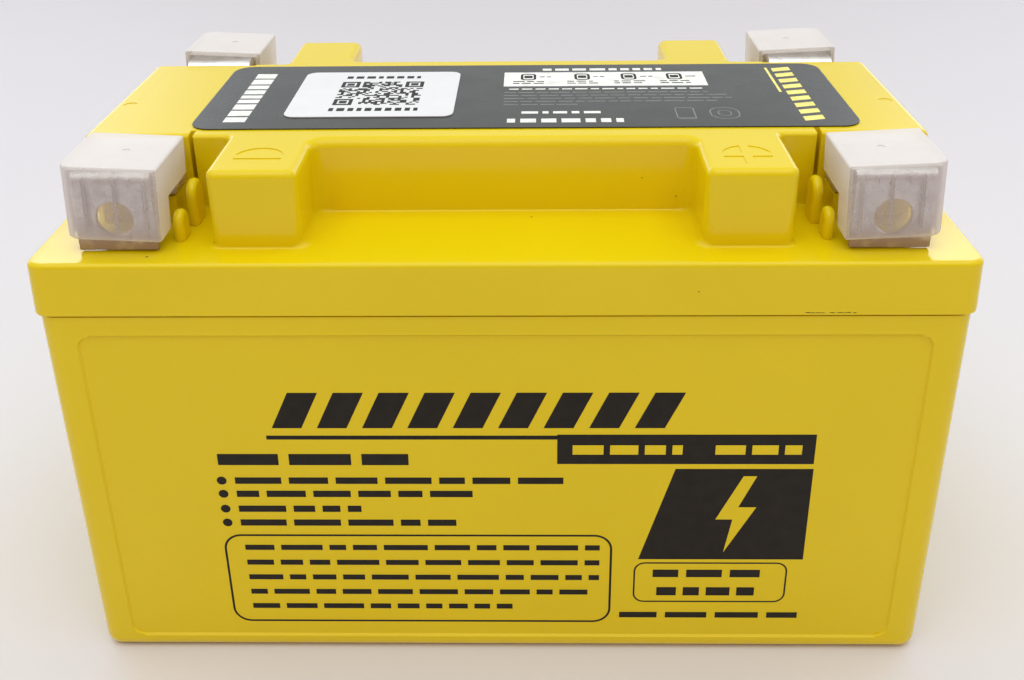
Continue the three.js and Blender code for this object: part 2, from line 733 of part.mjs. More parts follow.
function capSideProfile() {
  const shape = new THREE.Shape();
  shape.moveTo(CAP_BACK_Y, CAP_TOP);
  shape.lineTo(CAP_BACK_Y, CAP_SIDE_BOTTOM);
  shape.lineTo(CAP_LEG_BACK_Y, CAP_SIDE_BOTTOM);
  shape.lineTo(CAP_LEG_BACK_Y, CAP_LEG_BOTTOM + CAP_CHAMFER);
  shape.lineTo(CAP_LEG_BACK_Y + CAP_CHAMFER, CAP_LEG_BOTTOM);
  shape.lineTo(CAP_FRONT_Y, CAP_LEG_BOTTOM);
  shape.lineTo(CAP_FRONT_Y, CAP_TOP);
  shape.closePath();
  return shape;
}

function capBody({ signX, signY }) {
  const halfInside = CAP_HALF_X - CAP_WALL;
  const inside = box(
    -halfInside,
    halfInside,
    -(CAP_FRONT_Y - CAP_WALL),
    -(CAP_BACK_Y - OVERLAP),
    CAP_LEG_BOTTOM - OVERLAP,
    CAP_TOP - CAP_WALL,
  );
  const upright = toGeometry(cutAway(joined(profileAlongX(capSideProfile(), CAP_HALF_X)), inside));
  return upright
    .translate(0, 0, -CAP_LEAN_Z)
    .rotateY(signX * signY * CAP_LEAN)
    .translate(0, 0, CAP_LEAN_Z);
}

for (const corner of corners) {
  const strip = toGeometry(terminalBody(corner));
  placeAtCorner(addPiece(`terminal_${corner.place}`, strip, MATERIALS.tinnedMetal), corner);
  const cap = capBody(corner);
  placeAtCorner(addPiece(`terminal_cap_${corner.place}`, cap, MATERIALS.frostedPlastic), corner);
}

// ---------------------------------------------------------------- conductors under the lid ends

function busbar(signX) {
  const bottom = FOOT_BOTTOM + STRIP + GAP;
  const centre = signX * TERMINAL_X;
  return box(
    centre - BUSBAR_HALF_X,
    centre + BUSBAR_HALF_X,
    -BUSBAR_HALF_Y,
    BUSBAR_HALF_Y,
    bottom,
    bottom + BUSBAR_THICKNESS,
  );
}

function postBushing(signX) {
  return ring(
    signX * TERMINAL_X,
    postY(signX),
    BUSHING_OUTER_RADIUS,
    BUSHING_INNER_RADIUS,
    BUSHING_BOTTOM,
    BUSHING_TOP,
  );
}

// The post stands on the end cell's strap: negative at -X, positive at +X.
function postY(signX) {
  return signX < 0 ? negativeSide(0) * STRAP_Y : -negativeSide(CELL_COUNT - 1) * STRAP_Y;
}

function postSeal(signX) {
  const span = [
    CHAMBER_INNER_X + GAP,
    CHAMBER_OUTER_X - GAP,
    -(CHAMBER_HALF_Y - GAP),
    CHAMBER_HALF_Y - GAP,
  ];
  return cutAway(
    joined(sidedBox(signX, 1, ...span, SEAL_BOTTOM, SEAL_TOP)),
    uprightCylinder(
      signX * TERMINAL_X,
      postY(signX),
      BUSHING_OUTER_RADIUS + GAP,
      SEAL_BOTTOM - OVERLAP,
      SEAL_TOP + OVERLAP,
    ),
  );
}

for (const { polarity, signX } of ends) {
  addPiece(`busbar_${polarity}`, busbar(signX), MATERIALS.tinnedMetal);
  addPiece(`post_bushing_${polarity}`, toGeometry(postBushing(signX)), MATERIALS.lead);
  addPiece(`post_seal_${polarity}`, toGeometry(postSeal(signX)), MATERIALS.resin);
}

// ---------------------------------------------------------------- cells

// Plates of one polarity, their lugs, the strap over them, and the tab or post at its end.
function plateGroup(cell, negative) {
  const side = negative ? negativeSide(cell) : -negativeSide(cell);
  const plates = plateStack(cell).filter((plate) => plate.negative === negative);
  const strapY = side * STRAP_Y;
  const pieces = [];
  for (const { minX, maxX } of plates) {
    pieces.push(box(minX, maxX, -PLATE_HALF_Y, PLATE_HALF_Y, PLATE_BOTTOM, PLATE_TOP));
    const [lugNear, lugFar] = [strapY - LUG_HALF_Y, strapY + LUG_HALF_Y];
    pieces.push(box(minX, maxX, lugNear, lugFar, PLATE_TOP - OVERLAP, STRAP_BOTTOM + OVERLAP));
  }
  const wallLeft = cellCentre(cell) - CELL_WIDTH / 2 + GAP;
  const wallRight = cellCentre(cell) + CELL_WIDTH / 2 - GAP;
  // The cells are in series: a negative strap is welded on its left, a positive one on its right.
  const hasPost = negative ? cell === 0 : cell === CELL_COUNT - 1;
  let strapLeft = plates[0].minX;
  let strapRight = plates[plates.length - 1].maxX;
  if (!hasPost && negative) {
    strapLeft = wallLeft;
    pieces.push(weldTab(wallLeft, strapY));
  }
  if (!hasPost && !negative) {
    strapRight = wallRight;
    pieces.push(weldTab(wallRight - TAB_THICKNESS, strapY));
  }
  const strapSpan = [strapY - STRAP_HALF_Y, strapY + STRAP_HALF_Y];
  pieces.push(box(strapLeft, strapRight, ...strapSpan, STRAP_BOTTOM, STRAP_TOP));
  if (hasPost) {
    const postX = Math.sign(cellCentre(cell)) * TERMINAL_X;
    pieces.push(uprightCylinder(postX, strapY, POST_RADIUS, STRAP_TOP - OVERLAP, POST_TOP));
  }
  return joined(...pieces);
}

function weldTab(minX, strapY) {
  const [near, far] = [strapY - STRAP_HALF_Y, strapY + STRAP_HALF_Y];
  return box(minX, minX + TAB_THICKNESS, near, far, STRAP_TOP - OVERLAP, TAB_TOP);
}

// One length of mat, folded back and forth so that a layer lies in every gap between plates.
function glassMat(cell) {
  const stack = plateStack(cell);
  const legs = stack.slice(1).map((plate, index) => {
    const middle = (stack[index].maxX + plate.minX) / 2;
    return { minX: middle - MAT_THICKNESS / 2, maxX: middle + MAT_THICKNESS / 2 };
  });
  const foldNear = PLATE_HALF_Y + GAP;
  const foldFar = foldNear + MAT_THICKNESS;
  const pieces = legs.map(({ minX, maxX }) => box(minX, maxX, -foldFar, foldFar, PLATE_BOTTOM, MAT_TOP));
  legs.slice(1).forEach(({ maxX }, index) => {
    const side = index % 2 === 0 ? 1 : -1;
    const [y0, y1] = [side * foldNear, side * foldFar].sort((a, b) => a - b);
    pieces.push(box(legs[index].minX, maxX, y0, y1, PLATE_BOTTOM, MAT_TOP));
  });
  return joined(...pieces);
}

function rubberCap() {
  const profile = [
    [0, RUBBER_ROOF],
    [RUBBER_INNER_RADIUS, RUBBER_ROOF],
    [RUBBER_INNER_RADIUS, RUBBER_BOTTOM],
    [RUBBER_OUTER_RADIUS, RUBBER_BOTTOM],
    [RUBBER_OUTER_RADIUS, RUBBER_TOP - RUBBER_CHAMFER],
    [RUBBER_OUTER_RADIUS - RUBBER_CHAMFER, RUBBER_TOP],
    [0, RUBBER_TOP],
  ].map(([radius, height]) => new THREE.Vector2(radius, height));
  return new THREE.LatheGeometry(profile, ROUND_SEGMENTS).rotateX(Math.PI / 2);
}

for (let cell = 0; cell < CELL_COUNT; cell += 1) {
  const number = cell + 1;
  addPiece(`positive_plates_${number}`, toGeometry(plateGroup(cell, false)), MATERIALS.positivePaste);
  addPiece(`negative_plates_${number}`, toGeometry(plateGroup(cell, true)), MATERIALS.negativePaste);
  addPiece(`glass_mat_${number}`, toGeometry(glassMat(cell)), MATERIALS.glassMat);
  const cap = addPiece(`valve_cap_${number}`, rubberCap(), MATERIALS.rubber);
  cap.position.x = valveX(cell);
}

for (let weld = 1; weld < CELL_COUNT; weld += 1) {
  const { x, y } = weldPlace(weld);
  addPiece(`intercell_weld_${weld}`, cylinderAlongX(x, y, WELD_Z, WELD_RADIUS, PARTITION), MATERIALS.lead);
}

export default battery;
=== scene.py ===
"""Looks of a sealed motorcycle battery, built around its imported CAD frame.

Lengths are written in millimetres and turned into metres where meshes are made.
X runs along the length, Y along the depth (front is -Y) and Z is up.
"""

import json
import math
import random

import bmesh
import bpy
from mathutils import Matrix, Vector


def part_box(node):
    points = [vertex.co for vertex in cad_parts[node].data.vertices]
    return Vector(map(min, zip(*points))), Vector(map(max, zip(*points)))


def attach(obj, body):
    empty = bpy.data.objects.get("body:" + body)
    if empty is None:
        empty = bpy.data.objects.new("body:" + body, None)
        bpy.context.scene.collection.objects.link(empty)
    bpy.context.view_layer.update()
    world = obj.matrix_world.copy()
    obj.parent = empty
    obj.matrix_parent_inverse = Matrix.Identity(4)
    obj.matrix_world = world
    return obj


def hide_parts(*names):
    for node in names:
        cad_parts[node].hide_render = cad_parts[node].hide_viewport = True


MM = 0.001
SIDES = (-1, 1)
ARC_STEPS = 8
SMALLEST_RADIUS = 0.02
CUT_OVERRUN = 1.0
SHARP_ANGLE = math.radians(34)

# Sockets of the colour version of the Mix node.
MIX_FACTOR = 0
MIX_A = 6
MIX_B = 7
MIX_RESULT = 2

# Lid: skirt, plate and shoulder.
LID_HALF_X = 75.5
LID_HALF_Y = 44.0
LID_CORNER = 2.8
LID_EDGE = 0.8
LID_DRAFT = 0.2
LIP_ROUND = 0.3
SKIRT_BOTTOM = 70.4
SKIRT_WALL = 1.9
PLATE_UNDERSIDE = 77.3
SHOULDER = 79.6

# Deck and its blocks.
DECK_TOP = 92.8
DECK_HALF_X = 72.0
DECK_HALF_Y = 20.7
FLANK_HALF_Y = 21.2
MIDDLE_HALF_Y = 23.4
GROOVE_INSET = 8.0
GROOVE_WIDTH = 0.8
GROOVE_INNER_Y = 18.5
BLOCK_INNER_X = 32.1
FRONT_BLOCK_OUTER_X = 46.6
REAR_BLOCK_OUTER_X = 45.1
BLOCK_OUTER_Y = 38.0
GROOVE_MOUTH = 0.25
GROOVE_CORNER = 0.1
BLOCK_ROOT = 1.0
BLOCK_CORNER = 1.6
RECESS_CORNER = 2.6
LEDGE_OVERLAP = 1.0
MARK_X = (BLOCK_INNER_X + FRONT_BLOCK_OUTER_X) / 2
MARK_Y = 31.2
MARK_RADIUS = 4.0
MARK_DEPTH = 0.13
MARK_BAR_HALF = 0.7
DIMPLE_X = 68.9
DIMPLE_Y = -4.5
DIMPLE_RADIUS = 1.2
DIMPLE_DEPTH = 0.1

# Walls of the deck, each with its top rounding and its foot fillet.
GROOVE_FINISH = (0.2, 0.02)
FLANK_FINISH = (0.7, 0.3)
END_FLANK_FINISH = (0.8, 0.3)
RECESS_FINISH = (1.7, 0.35)
BLOCK_FACE_FINISH = (1.2, 0.4)
BLOCK_INNER_FINISH = (1.5, 1.6)
BLOCK_OUTER_FINISH = (1.1, 0.8)
DECK_END_FINISH = (1.4, 0.8)

# Case.
CASE_TOP_HALF_X = 75.0
CASE_TOP_HALF_Y = 43.6
CASE_DRAFT = 0.2
CASE_CORNER = 3.2
CASE_BOTTOM_ROUND = 2.4
CASE_STEP = SKIRT_BOTTOM - 0.3
CASE_RIM = PLATE_UNDERSIDE - 0.3
RIM_INSET = 1.8
PANEL_DEPTH = 0.4
PANEL_SLOPE = 0.35
PANEL_HALF_X = 68.7
PANEL_HALF_Y = 37.3
PANEL_BOTTOM = 3.4
PANEL_TOP = 66.4
PANEL_CORNER = 2.0
PANEL_CORNER_STEPS = 5

# Terminals.
FRONT_TERMINAL_X = 61.3
REAR_TERMINAL_X = 59.4
STRIP = 1.2
STRIP_HALF_X = 6.35
BEND = 2.0
FRONT_FACE_Y = 39.0
FOOT_FRONT_Y = 27.3
BACK_FACE_Y = 21.0
FOOT_BOTTOM = 84.5
STRIP_TOP = 93.0
STRIP_BOTTOM = 79.9
TONGUE_HALF_X = 4.4
TONGUE_TIP_Y = 6.5
BOLT_HOLE_RADIUS = 3.0
BOLT_HOLE_Z = 85.2
# Heights in metres over which the painted brown shade on the terminals' lower part fades out.
LOW_SHADE_FADE = (0.0805, 0.0865)
LEDGE_FRONT_Y = 27.5
LEDGE_TOP = 84.2
STRIP_EDGE = 0.18
STRIP_EDGE_STEPS = 2
TONGUE_CLEARANCE = 0.02

# Tabs beside each terminal: distance from its middle, near Y, far Y and top.
SHORT_TAB = (8.7, 31.6, 35.6, 84.6)
TALL_TAB = (9.3, 24.2, 29.4, 87.2)
TAB_HALF_X = 0.9
TAB_ROUND = 0.8
TAB_ROUND_STEPS = 5
TAB_ARC_STEPS = 16
ROOT_DEPTH = 0.5

# Terminal caps, which lean towards the middle of the battery.
CAP_TOP = 94.4
CAP_WALL = 0.8
CAP_HALF_X = 7.75
CAP_FRONT_Y = 40.2
CAP_BACK_Y = 24.3
CAP_SIDE_BOTTOM = 87.6
CAP_LEG_BOTTOM = 82.0
CAP_LEG_BACK_Y = 34.6
CAP_CHAMFER = 0.6
CAP_LEAN = math.radians(2.6)
CAP_LEAN_Z = 88.0
CAP_EDGE = 0.45
CAP_INNER_EDGE = 0.35
CAP_OUTER_ROUND = 2.6
CAP_INNER_ROUND = 1.0
GATE_X = 0.8
GATE_RADIUS = 0.75
GATE_DEPTH = 0.12
# Ribs through the front wall, by distance towards the middle of the battery, with their bottoms.
RIBS = ((-4.0, 83.5), (-1.5, 91.3), (0.8, 83.0), (3.2, 91.3), (5.4, 83.5))
RIB_HALF = 0.11
RIB_DEPTH = 0.12
RIB_PROUD = 0.01
RIB_TOP = STRIP_TOP - 0.5

# Prints and scuffs: how far they lie off their surfaces, and the scrape along the seam.
PRINT_GAP = 0.01
PANEL_PRINT_GAP = 0.02
SKIRT_MARK_GAP = 0.006
DISC_POINTS = 20
FLECK_POINTS = 9
SCRAPE_START = 48.2
SCRAPE_END = 56.4
SCRAPE_Z = 70.95
SCRAPE_WIDTH = 0.16

# Camera, fitted to the viewing angle of the photograph.
IMAGE_WIDTH = 1024
SENSOR_WIDTH = 36.0
CAMERA_PLACE = (5.099, -199.755, 158.023)
CAMERA_PITCH = 23.937
CAMERA_YAW = -1.211
CAMERA_ROLL = -0.717
FOCAL_PIXELS = 1122.6
SHIFT_Y = -0.127
# Nearest distance that the camera shows, in metres.
CLIP_START = 0.01

# Light: the tent's glow low and high in front, behind, behind at the sides, and in two bright
# strips there.
LOW_FRONT_GLOW = (0.27, 0.17, 0.16)
HIGH_FRONT_GLOW = (0.62, 0.50, 0.56)
BACK_GLOW = (0.74, 0.775, 0.785)
WING_GLOW = (1.7, 1.8, 2.1)
STRIP_GLOW = (6.5, 6.5, 6.5)

# Where the glows lie: each fade is a (start, end) of the X, Y or Z of a direction.
DEPTH_FADE = (-0.7, 0.7)
FRONT_HEIGHT_FADE = (0.12, 0.5)
BEHIND_FADE = (0.3, 0.6)
WING_SIDE_FADE = (0.26, 0.42)
WING_TOP_FADE = (0.42, 0.6)
STRIP_BOTTOM_FADE = (0.39, 0.405)
STRIP_TOP_FADE = (0.43, 0.46)
STRIP_INNER_FADE = (0.285, 0.315)
STRIP_OUTER_FADE = (0.405, 0.43)

# Lamps: place, aim, width, depth (all in metres), watts and tint.
OVERHEAD = ((0.0, -0.12, 0.8), (0, 0, 0.05), 1.0, 0.7, 2.5, (0.90, 1.07, 1.0))
WINDOW = ((0.0, -0.45, 0.75), (0, 0, 0.06), 0.9, 0.5, 1.2, (1.02, 0.92, 0.90))

# Floor.
FLOOR_HALF = 3000.0
FLOOR_LIGHT = (0.78, 0.76, 0.76)
FLOOR_DARK = (0.77, 0.75, 0.75)
FLOOR_ROUGHNESS = 0.55


# ---------------------------------------------------------------- plans and meshes


def direction(start, end):
    return (Vector(end[:2]) - Vector(start[:2])).normalized()


def quarter_turn(steps=ARC_STEPS):
    """Angles from zero to a right angle."""
    return [step / steps * math.pi / 2 for step in range(steps + 1)]


def rounded_outline(plan, insets, heights):
    """Rounds the right-angled corners (x, y, radius) of a counter-clockwise plan.

    Edge n runs from corner n to the next. Each edge is moved in by its own inset and
    lies at its own height, and the corner between two edges blends their heights.
    """
    points = []
    for index, (x, y, radius) in enumerate(plan):
        into = direction(plan[index - 1], plan[index])
        out = direction(plan[index], plan[(index + 1) % len(plan)])
        inward_in = Vector((-into.y, into.x))
        inward_out = Vector((-out.y, out.x))
        turn = math.copysign(1, into.cross(out))
        mean_inset = (insets[index - 1] + insets[index]) / 2
        arc = max(radius - turn * mean_inset, SMALLEST_RADIUS)
        corner = Vector((x, y)) + inward_in * insets[index - 1] + inward_out * insets[index]
        centre = corner + (inward_in + inward_out) * turn * arc
        for step in range(ARC_STEPS + 1):
            part = step / ARC_STEPS
            angle = part * math.pi / 2
            point = centre - inward_in * turn * arc * math.cos(angle) + into * arc * math.sin(angle)
            height = heights[index - 1] * (1 - part) + heights[index] * part
            points.append((point.x, point.y, height))
    return points


def rectangle(half_x, half_y, radius):
    return [
        (-half_x, -half_y, radius),
        (half_x, -half_y, radius),
        (half_x, half_y, radius),
        (-half_x, half_y, radius),
    ]


def level(plan, height, inset=0.0):
    return rounded_outline(plan, [inset] * len(plan), [height] * len(plan))


def new_object(name, mesh):
    piece = bpy.data.objects.new(name, mesh)
    bpy.context.scene.collection.objects.link(piece)
    return piece


def mesh_from(points, faces, name="part"):
    mesh = bpy.data.meshes.new(name)
    mesh.from_pydata([tuple(value * MM for value in point) for point in points], [], faces)
    mesh.update()
    return mesh


def loft(layers, closed=True):
    """Joins outlines of equal length, stacked in order, into one mesh."""
    count = len(layers[0])
    points = [point for layer in layers for point in layer]
    faces = []
    for layer in range(len(layers) - 1):
        for index in range(count):
            here = layer * count + index
            beside = layer * count + (index + 1) % count
            faces.append((here, beside, beside + count, here + count))
    if closed:
        last = (len(layers) - 1) * count
        faces.append(tuple(reversed(range(count))))
        faces.append(tuple(range(last, last + count)))
    return mesh_from(points, faces)


def box_mesh(low, high):
    (x0, y0, z0), (x1, y1, z1) = low, high
    points = [(x0, y0, z0), (x1, y0, z0), (x1, y1, z0), (x0, y1, z0)]
    points += [(x, y, z1) for x, y, _ in points[:4]]
    faces = [(3, 2, 1, 0), (4, 5, 6, 7), (0, 1, 5, 4), (1, 2, 6, 5), (2, 3, 7, 6), (3, 0, 4, 7)]
    return mesh_from(points, faces)


def sided_box(sign_x, sign_y, span_x, span_y, span_z):
    """A box given by distances from the middle, put on the side that the signs say."""
    x0, x1 = sorted(sign_x * value for value in span_x)
    y0, y1 = sorted(sign_y * value for value in span_y)
    return box_mesh((x0, y0, span_z[0]), (x1, y1, span_z[1]))


def disc_points(x, y, radius, count=48):
    turns = [2 * math.pi * index / count for index in range(count)]
    return [(x + radius * math.cos(turn), y + radius * math.sin(turn)) for turn in turns]


def cylinder_mesh(x, y, radius, bottom, top):
    ring = disc_points(x, y, radius)
    return loft([[(px, py, z) for px, py in ring] for z in (bottom, top)])


def joined(name, meshes):
    """Puts several closed meshes into one object."""
    shape = bmesh.new()
    for mesh in meshes:
        shape.from_mesh(mesh)
        bpy.data.meshes.remove(mesh)
    whole = bpy.data.meshes.new(name)
    shape.to_mesh(whole)
    shape.free()
    return new_object(name, whole)


def apply_modifiers(piece):
    graph = bpy.context.evaluated_depsgraph_get()
    shaped = bpy.data.meshes.new_from_object(piece.evaluated_get(graph))
    piece.modifiers.clear()
    old = piece.data
    piece.data = shaped
    bpy.data.meshes.remove(old)


def cut(piece, mesh):
    """Takes a closed mesh away from a piece."""
    cutter = new_object("cutter", mesh)
    change = piece.modifiers.new("cut", "BOOLEAN")
    change.operation = "DIFFERENCE"
    change.solver = "EXACT"
    change.object = cutter
    apply_modifiers(piece)
    bpy.data.objects.remove(cutter)
    bpy.data.meshes.remove(mesh)


def bevel(piece, width, segments=3):
    change = piece.modifiers.new("bevel", "BEVEL")
    change.width = width * MM
    change.segments = segments
    change.limit_method = "ANGLE"
    change.angle_limit = SHARP_ANGLE
    apply_modifiers(piece)


def smooth(piece):
    """Smooth shading that keeps flat faces flat and real edges sharp."""
    mesh = piece.data
    mesh.polygons.foreach_set("use_smooth", [True] * len(mesh.polygons))
    mesh.set_sharp_from_angle(angle=SHARP_ANGLE)
    change = piece.modifiers.new("weighted normals", "WEIGHTED_NORMAL")
    change.keep_sharp = True
    apply_modifiers(piece)


def terminal_x(sign_y):
    return FRONT_TERMINAL_X if sign_y < 0 else REAR_TERMINAL_X


def block_outer_x(sign_y):
    return FRONT_BLOCK_OUTER_X if sign_y < 0 else REAR_BLOCK_OUTER_X


def turned(mesh, sign_x, sign_y, inset=0.0):
    """Puts a mesh drawn for the front at X = 0 onto one of the four corners."""
    if sign_y > 0:
        mesh.transform(Matrix.Rotation(math.pi, 4, "Z"))
    mesh.transform(Matrix.Translation((sign_x * (terminal_x(sign_y) - inset) * MM, 0, 0)))
    return mesh


def profile_mesh(profile, half_width):
    """A bar along X from a profile of (forward, height) points, for the front side."""
    points = [(-half_width, -forward, height) for forward, height in profile]
    points += [(half_width, -forward, height) for forward, height in profile]
    count = len(profile)
    faces = [tuple(range(count)), tuple(reversed(range(count, 2 * count)))]
    for index in range(count):
        after = (index + 1) % count
        faces.append((index, index + count, after + count, after))
    mesh = mesh_from(points, faces)
    shape = bmesh.new()
    shape.from_mesh(mesh)
    bmesh.ops.recalc_face_normals(shape, faces=shape.faces)
    shape.to_mesh(mesh)
    shape.free()
    return mesh


def arc(centre, radius, start, end, steps=ARC_STEPS):
    """Points of an arc in (forward, height), with its angles in degrees."""
    points = []
    for step in range(steps + 1):
        angle = math.radians(start + (end - start) * step / steps)
        points.append((centre[0] + radius * math.cos(angle), centre[1] + radius * math.sin(angle)))
    return points


# ---------------------------------------------------------------- materials


class Nodes:
    """Short names for building one node tree."""

    def __init__(self, tree):
        self.tree = tree

    def add(self, kind, **settings):
        node = self.tree.nodes.new(kind)
        for key, value in settings.items():
            setattr(node, key, value)
        return node

    def link(self, source, target):
        self.tree.links.new(source, target)

    def math(self, operation, first, second):
        node = self.add("ShaderNodeMath", operation=operation)
        for socket, value in zip(node.inputs, (first, second)):
            self.feed(socket, value)
        return node.outputs[0]

    def feed(self, socket, value):
        if isinstance(value, bpy.types.NodeSocket):
            self.link(value, socket)
        else:
            socket.default_value = value

    def place(self, scale=(1, 1, 1)):
        """Object coordinates in millimetres, stretched by a scale."""
        coordinates = self.add("ShaderNodeTexCoord")
        mapping = self.add("ShaderNodeMapping")
        mapping.inputs["Scale"].default_value = [value / MM for value in scale]
        self.link(coordinates.outputs["Object"], mapping.inputs["Vector"])
        return mapping.outputs["Vector"]

    def noise(self, scale, detail=3.0, stretch=(1, 1, 1)):
        node = self.add("ShaderNodeTexNoise")
        self.link(self.place(stretch), node.inputs["Vector"])
        node.inputs["Scale"].default_value = scale
        node.inputs["Detail"].default_value = detail
        return node.outputs["Fac"]

    def spread(self, value, low, high, start=0.3, end=0.7):
        """Maps a value between start and end to low and high."""
        node = self.add("ShaderNodeMapRange")
        self.link(value, node.inputs["Value"])
        node.inputs["From Min"].default_value = start
        node.inputs["From Max"].default_value = end
        node.inputs["To Min"].default_value = low
        node.inputs["To Max"].default_value = high
        return node.outputs["Result"]

    def blend(self, factor, first, second):
        node = self.add("ShaderNodeMix", data_type="RGBA")
        self.feed(node.inputs[MIX_FACTOR], factor)
        self.feed(node.inputs[MIX_A], first)
        self.feed(node.inputs[MIX_B], second)
        return node.outputs[MIX_RESULT]

    def bump(self, height, distance, strength=1.0, below=None):
        node = self.add("ShaderNodeBump")
        node.inputs["Strength"].default_value = strength
        node.inputs["Distance"].default_value = distance * MM
        self.link(height, node.inputs["Height"])
        if below is not None:
            self.link(below, node.inputs["Normal"])
        return node.outputs["Normal"]


def opaque(color):
    return (*color, 1.0)


def new_material(name):
    material = bpy.data.materials.new(name)
    material.use_nodes = True
    tree = material.node_tree
    shader = tree.nodes["Principled BSDF"]
    return material, Nodes(tree), shader


def finish_of(name, light, dark, roughness, patch, grain, depth, metallic=0.0, stretch=(1, 1, 1)):
    """A material with patches of two colours, uneven gloss and a fine grain.

    roughness is (low, high). patch and grain are the noise scales per millimetre, and depth
    is the grain's height in millimetres.
    """
    material, nodes, shader = new_material(name)
    patches = nodes.noise(patch, 4.0)
    color = nodes.blend(nodes.spread(patches, 0, 1), opaque(light), opaque(dark))
    nodes.link(color, shader.inputs["Base Color"])
    gloss = nodes.noise(patch * 3, 3.0, stretch)
    nodes.link(nodes.spread(gloss, *roughness), shader.inputs["Roughness"])
    nodes.link(nodes.bump(nodes.noise(grain, 2.0, stretch), depth), shader.inputs["Normal"])
    shader.inputs["Metallic"].default_value = metallic
    return material


def yellow_plastic():
    """Glossy moulded plastic: faint flow marks, uneven gloss and a softly rippled skin."""
    material, nodes, shader = new_material("yellow_plastic")
    flow = nodes.noise(0.03, 3.0)
    light = opaque((0.845, 0.65, 0.003))
    dark = opaque((0.815, 0.625, 0.002))
    color = nodes.blend(nodes.spread(flow, 0, 1), light, dark)
    nodes.link(color, shader.inputs["Base Color"])
    cloud = nodes.noise(0.12, 4.0)
    nodes.link(nodes.spread(cloud, 0.13, 0.2), shader.inputs["Roughness"])
    skin = nodes.bump(nodes.noise(0.2, 2.0), 0.012, 0.4)
    nodes.link(nodes.bump(nodes.noise(2.5, 2.0), 0.0012, 0.4, skin), shader.inputs["Normal"])
    shader.inputs["Specular IOR Level"].default_value = 0.34
    return material


def frosted_plastic():
    """Milky clear plastic with an uneven haze. A wall seen edge on hides more."""
    material, nodes, shader = new_material("frosted_plastic")
    haze = nodes.noise(0.25, 3.0)
    slant = nodes.add("ShaderNodeLayerWeight")
    slant.inputs["Blend"].default_value = 0.5
    milk = nodes.spread(slant.outputs["Facing"], 0.30, 0.82, 0.15, 0.5)
    nodes.link(nodes.math("ADD", milk, nodes.spread(haze, -0.02, 0.02)), shader.inputs["Alpha"])
    nodes.link(nodes.spread(haze, 0.36, 0.46), shader.inputs["Roughness"])
    nodes.link(nodes.bump(nodes.noise(1.2, 2.0), 0.003, 0.3), shader.inputs["Normal"])
    shader.inputs["Base Color"].default_value = opaque((0.81, 0.765, 0.72))
    shader.inputs["Specular IOR Level"].default_value = 0.1
    return material


def terminal_metal():
    """Tin-plated strip: pale at the top, with a faint brushing, random brown stains, and a painted
    brown shade over its lower part.
    """
    material, nodes, shader = new_material("terminal_metal")
    coordinates = nodes.add("ShaderNodeTexCoord")
    parts = nodes.add("ShaderNodeSeparateXYZ")
    nodes.link(coordinates.outputs["Object"], parts.inputs["Vector"])
    # Painted shade: the strip is brown and less metallic at the bottom, fading out upwards.
    low = nodes.spread(parts.outputs["Z"], 1.0, 0.0, *LOW_SHADE_FADE)
    stain = nodes.spread(nodes.noise(0.5, 5.0), -0.15, 0.35, 0.35, 0.7)
    # Random real stains, added to the painted shade.
    stain_and_shade = nodes.math("ADD", low, stain)
    color = nodes.blend(stain_and_shade, opaque((0.93, 0.91, 0.88)), opaque((0.40, 0.30, 0.30)))
    nodes.link(color, shader.inputs["Base Color"])
    brush = nodes.noise(0.7, 2.0, (0.4, 1.0, 1.6))
    nodes.link(nodes.spread(brush, 0.28, 0.4), shader.inputs["Roughness"])
    nodes.link(nodes.bump(brush, 0.004, 0.3), shader.inputs["Normal"])
    # Both the stains and the painted shade lower the metallic.
    nodes.link(nodes.spread(stain_and_shade, 0.9, 0.5, 0.2, 1.0), shader.inputs["Metallic"])
    return material


def ink(name, color, roughness=(0.38, 0.5)):
    """Screen-printed ink with slightly uneven cover."""
    worn = tuple(value * 1.3 + 0.002 for value in color)
    material = finish_of(name, color, worn, roughness, 0.4, 3.0, 0.004)
    material.node_tree.nodes["Principled BSDF"].inputs["Specular IOR Level"].default_value = 0.2
    return material


def make_materials():
    return {
        "yellow_plastic": yellow_plastic(),
        "frosted_plastic": frosted_plastic(),
        "terminal_metal": terminal_metal(),
        "cover_plastic": finish_of(
            "cover_plastic", (0.72, 0.55, 0.01), (0.66, 0.49, 0.01), (0.4, 0.5), 0.08, 1.5, 0.01
        ),
        "label_film": finish_of(
            "label_film",
            (0.026, 0.027, 0.024),
            (0.034, 0.034, 0.030),
            (0.25, 0.32),
            0.06,
            2.0,
            0.006,
        ),
        "sticker_paper": finish_of(
            "sticker_paper", (0.83, 0.83, 0.82), (0.80, 0.80, 0.79), (0.4, 0.5), 0.2, 3.0, 0.005
        ),
        "rubber": finish_of(
            "rubber", (0.028, 0.028, 0.028), (0.04, 0.04, 0.038), (0.6, 0.75), 0.4, 4.0, 0.02
        ),
        "lead": finish_of(
            "lead", (0.25, 0.26, 0.28), (0.16, 0.17, 0.19), (0.45, 0.6), 0.5, 2.0, 0.05, 0.8
        ),
        "positive_paste": finish_of(
            "positive_paste", (0.10, 0.045, 0.03), (0.07, 0.03, 0.02), (0.75, 0.9), 0.6, 3.0, 0.08
        ),
        "negative_paste": finish_of(
            "negative_paste", (0.30, 0.31, 0.32), (0.22, 0.23, 0.24), (0.7, 0.85), 0.6, 3.0, 0.08
        ),
        "glass_mat": finish_of(
            "glass_mat", (0.86, 0.86, 0.83), (0.76, 0.76, 0.72), (0.85, 0.95), 0.8, 5.0, 0.1
        ),
        "seal_resin": finish_of(
            "seal_resin", (0.03, 0.03, 0.028), (0.02, 0.02, 0.02), (0.2, 0.32), 0.2, 1.0, 0.02
        ),
    }


# ---------------------------------------------------------------- case


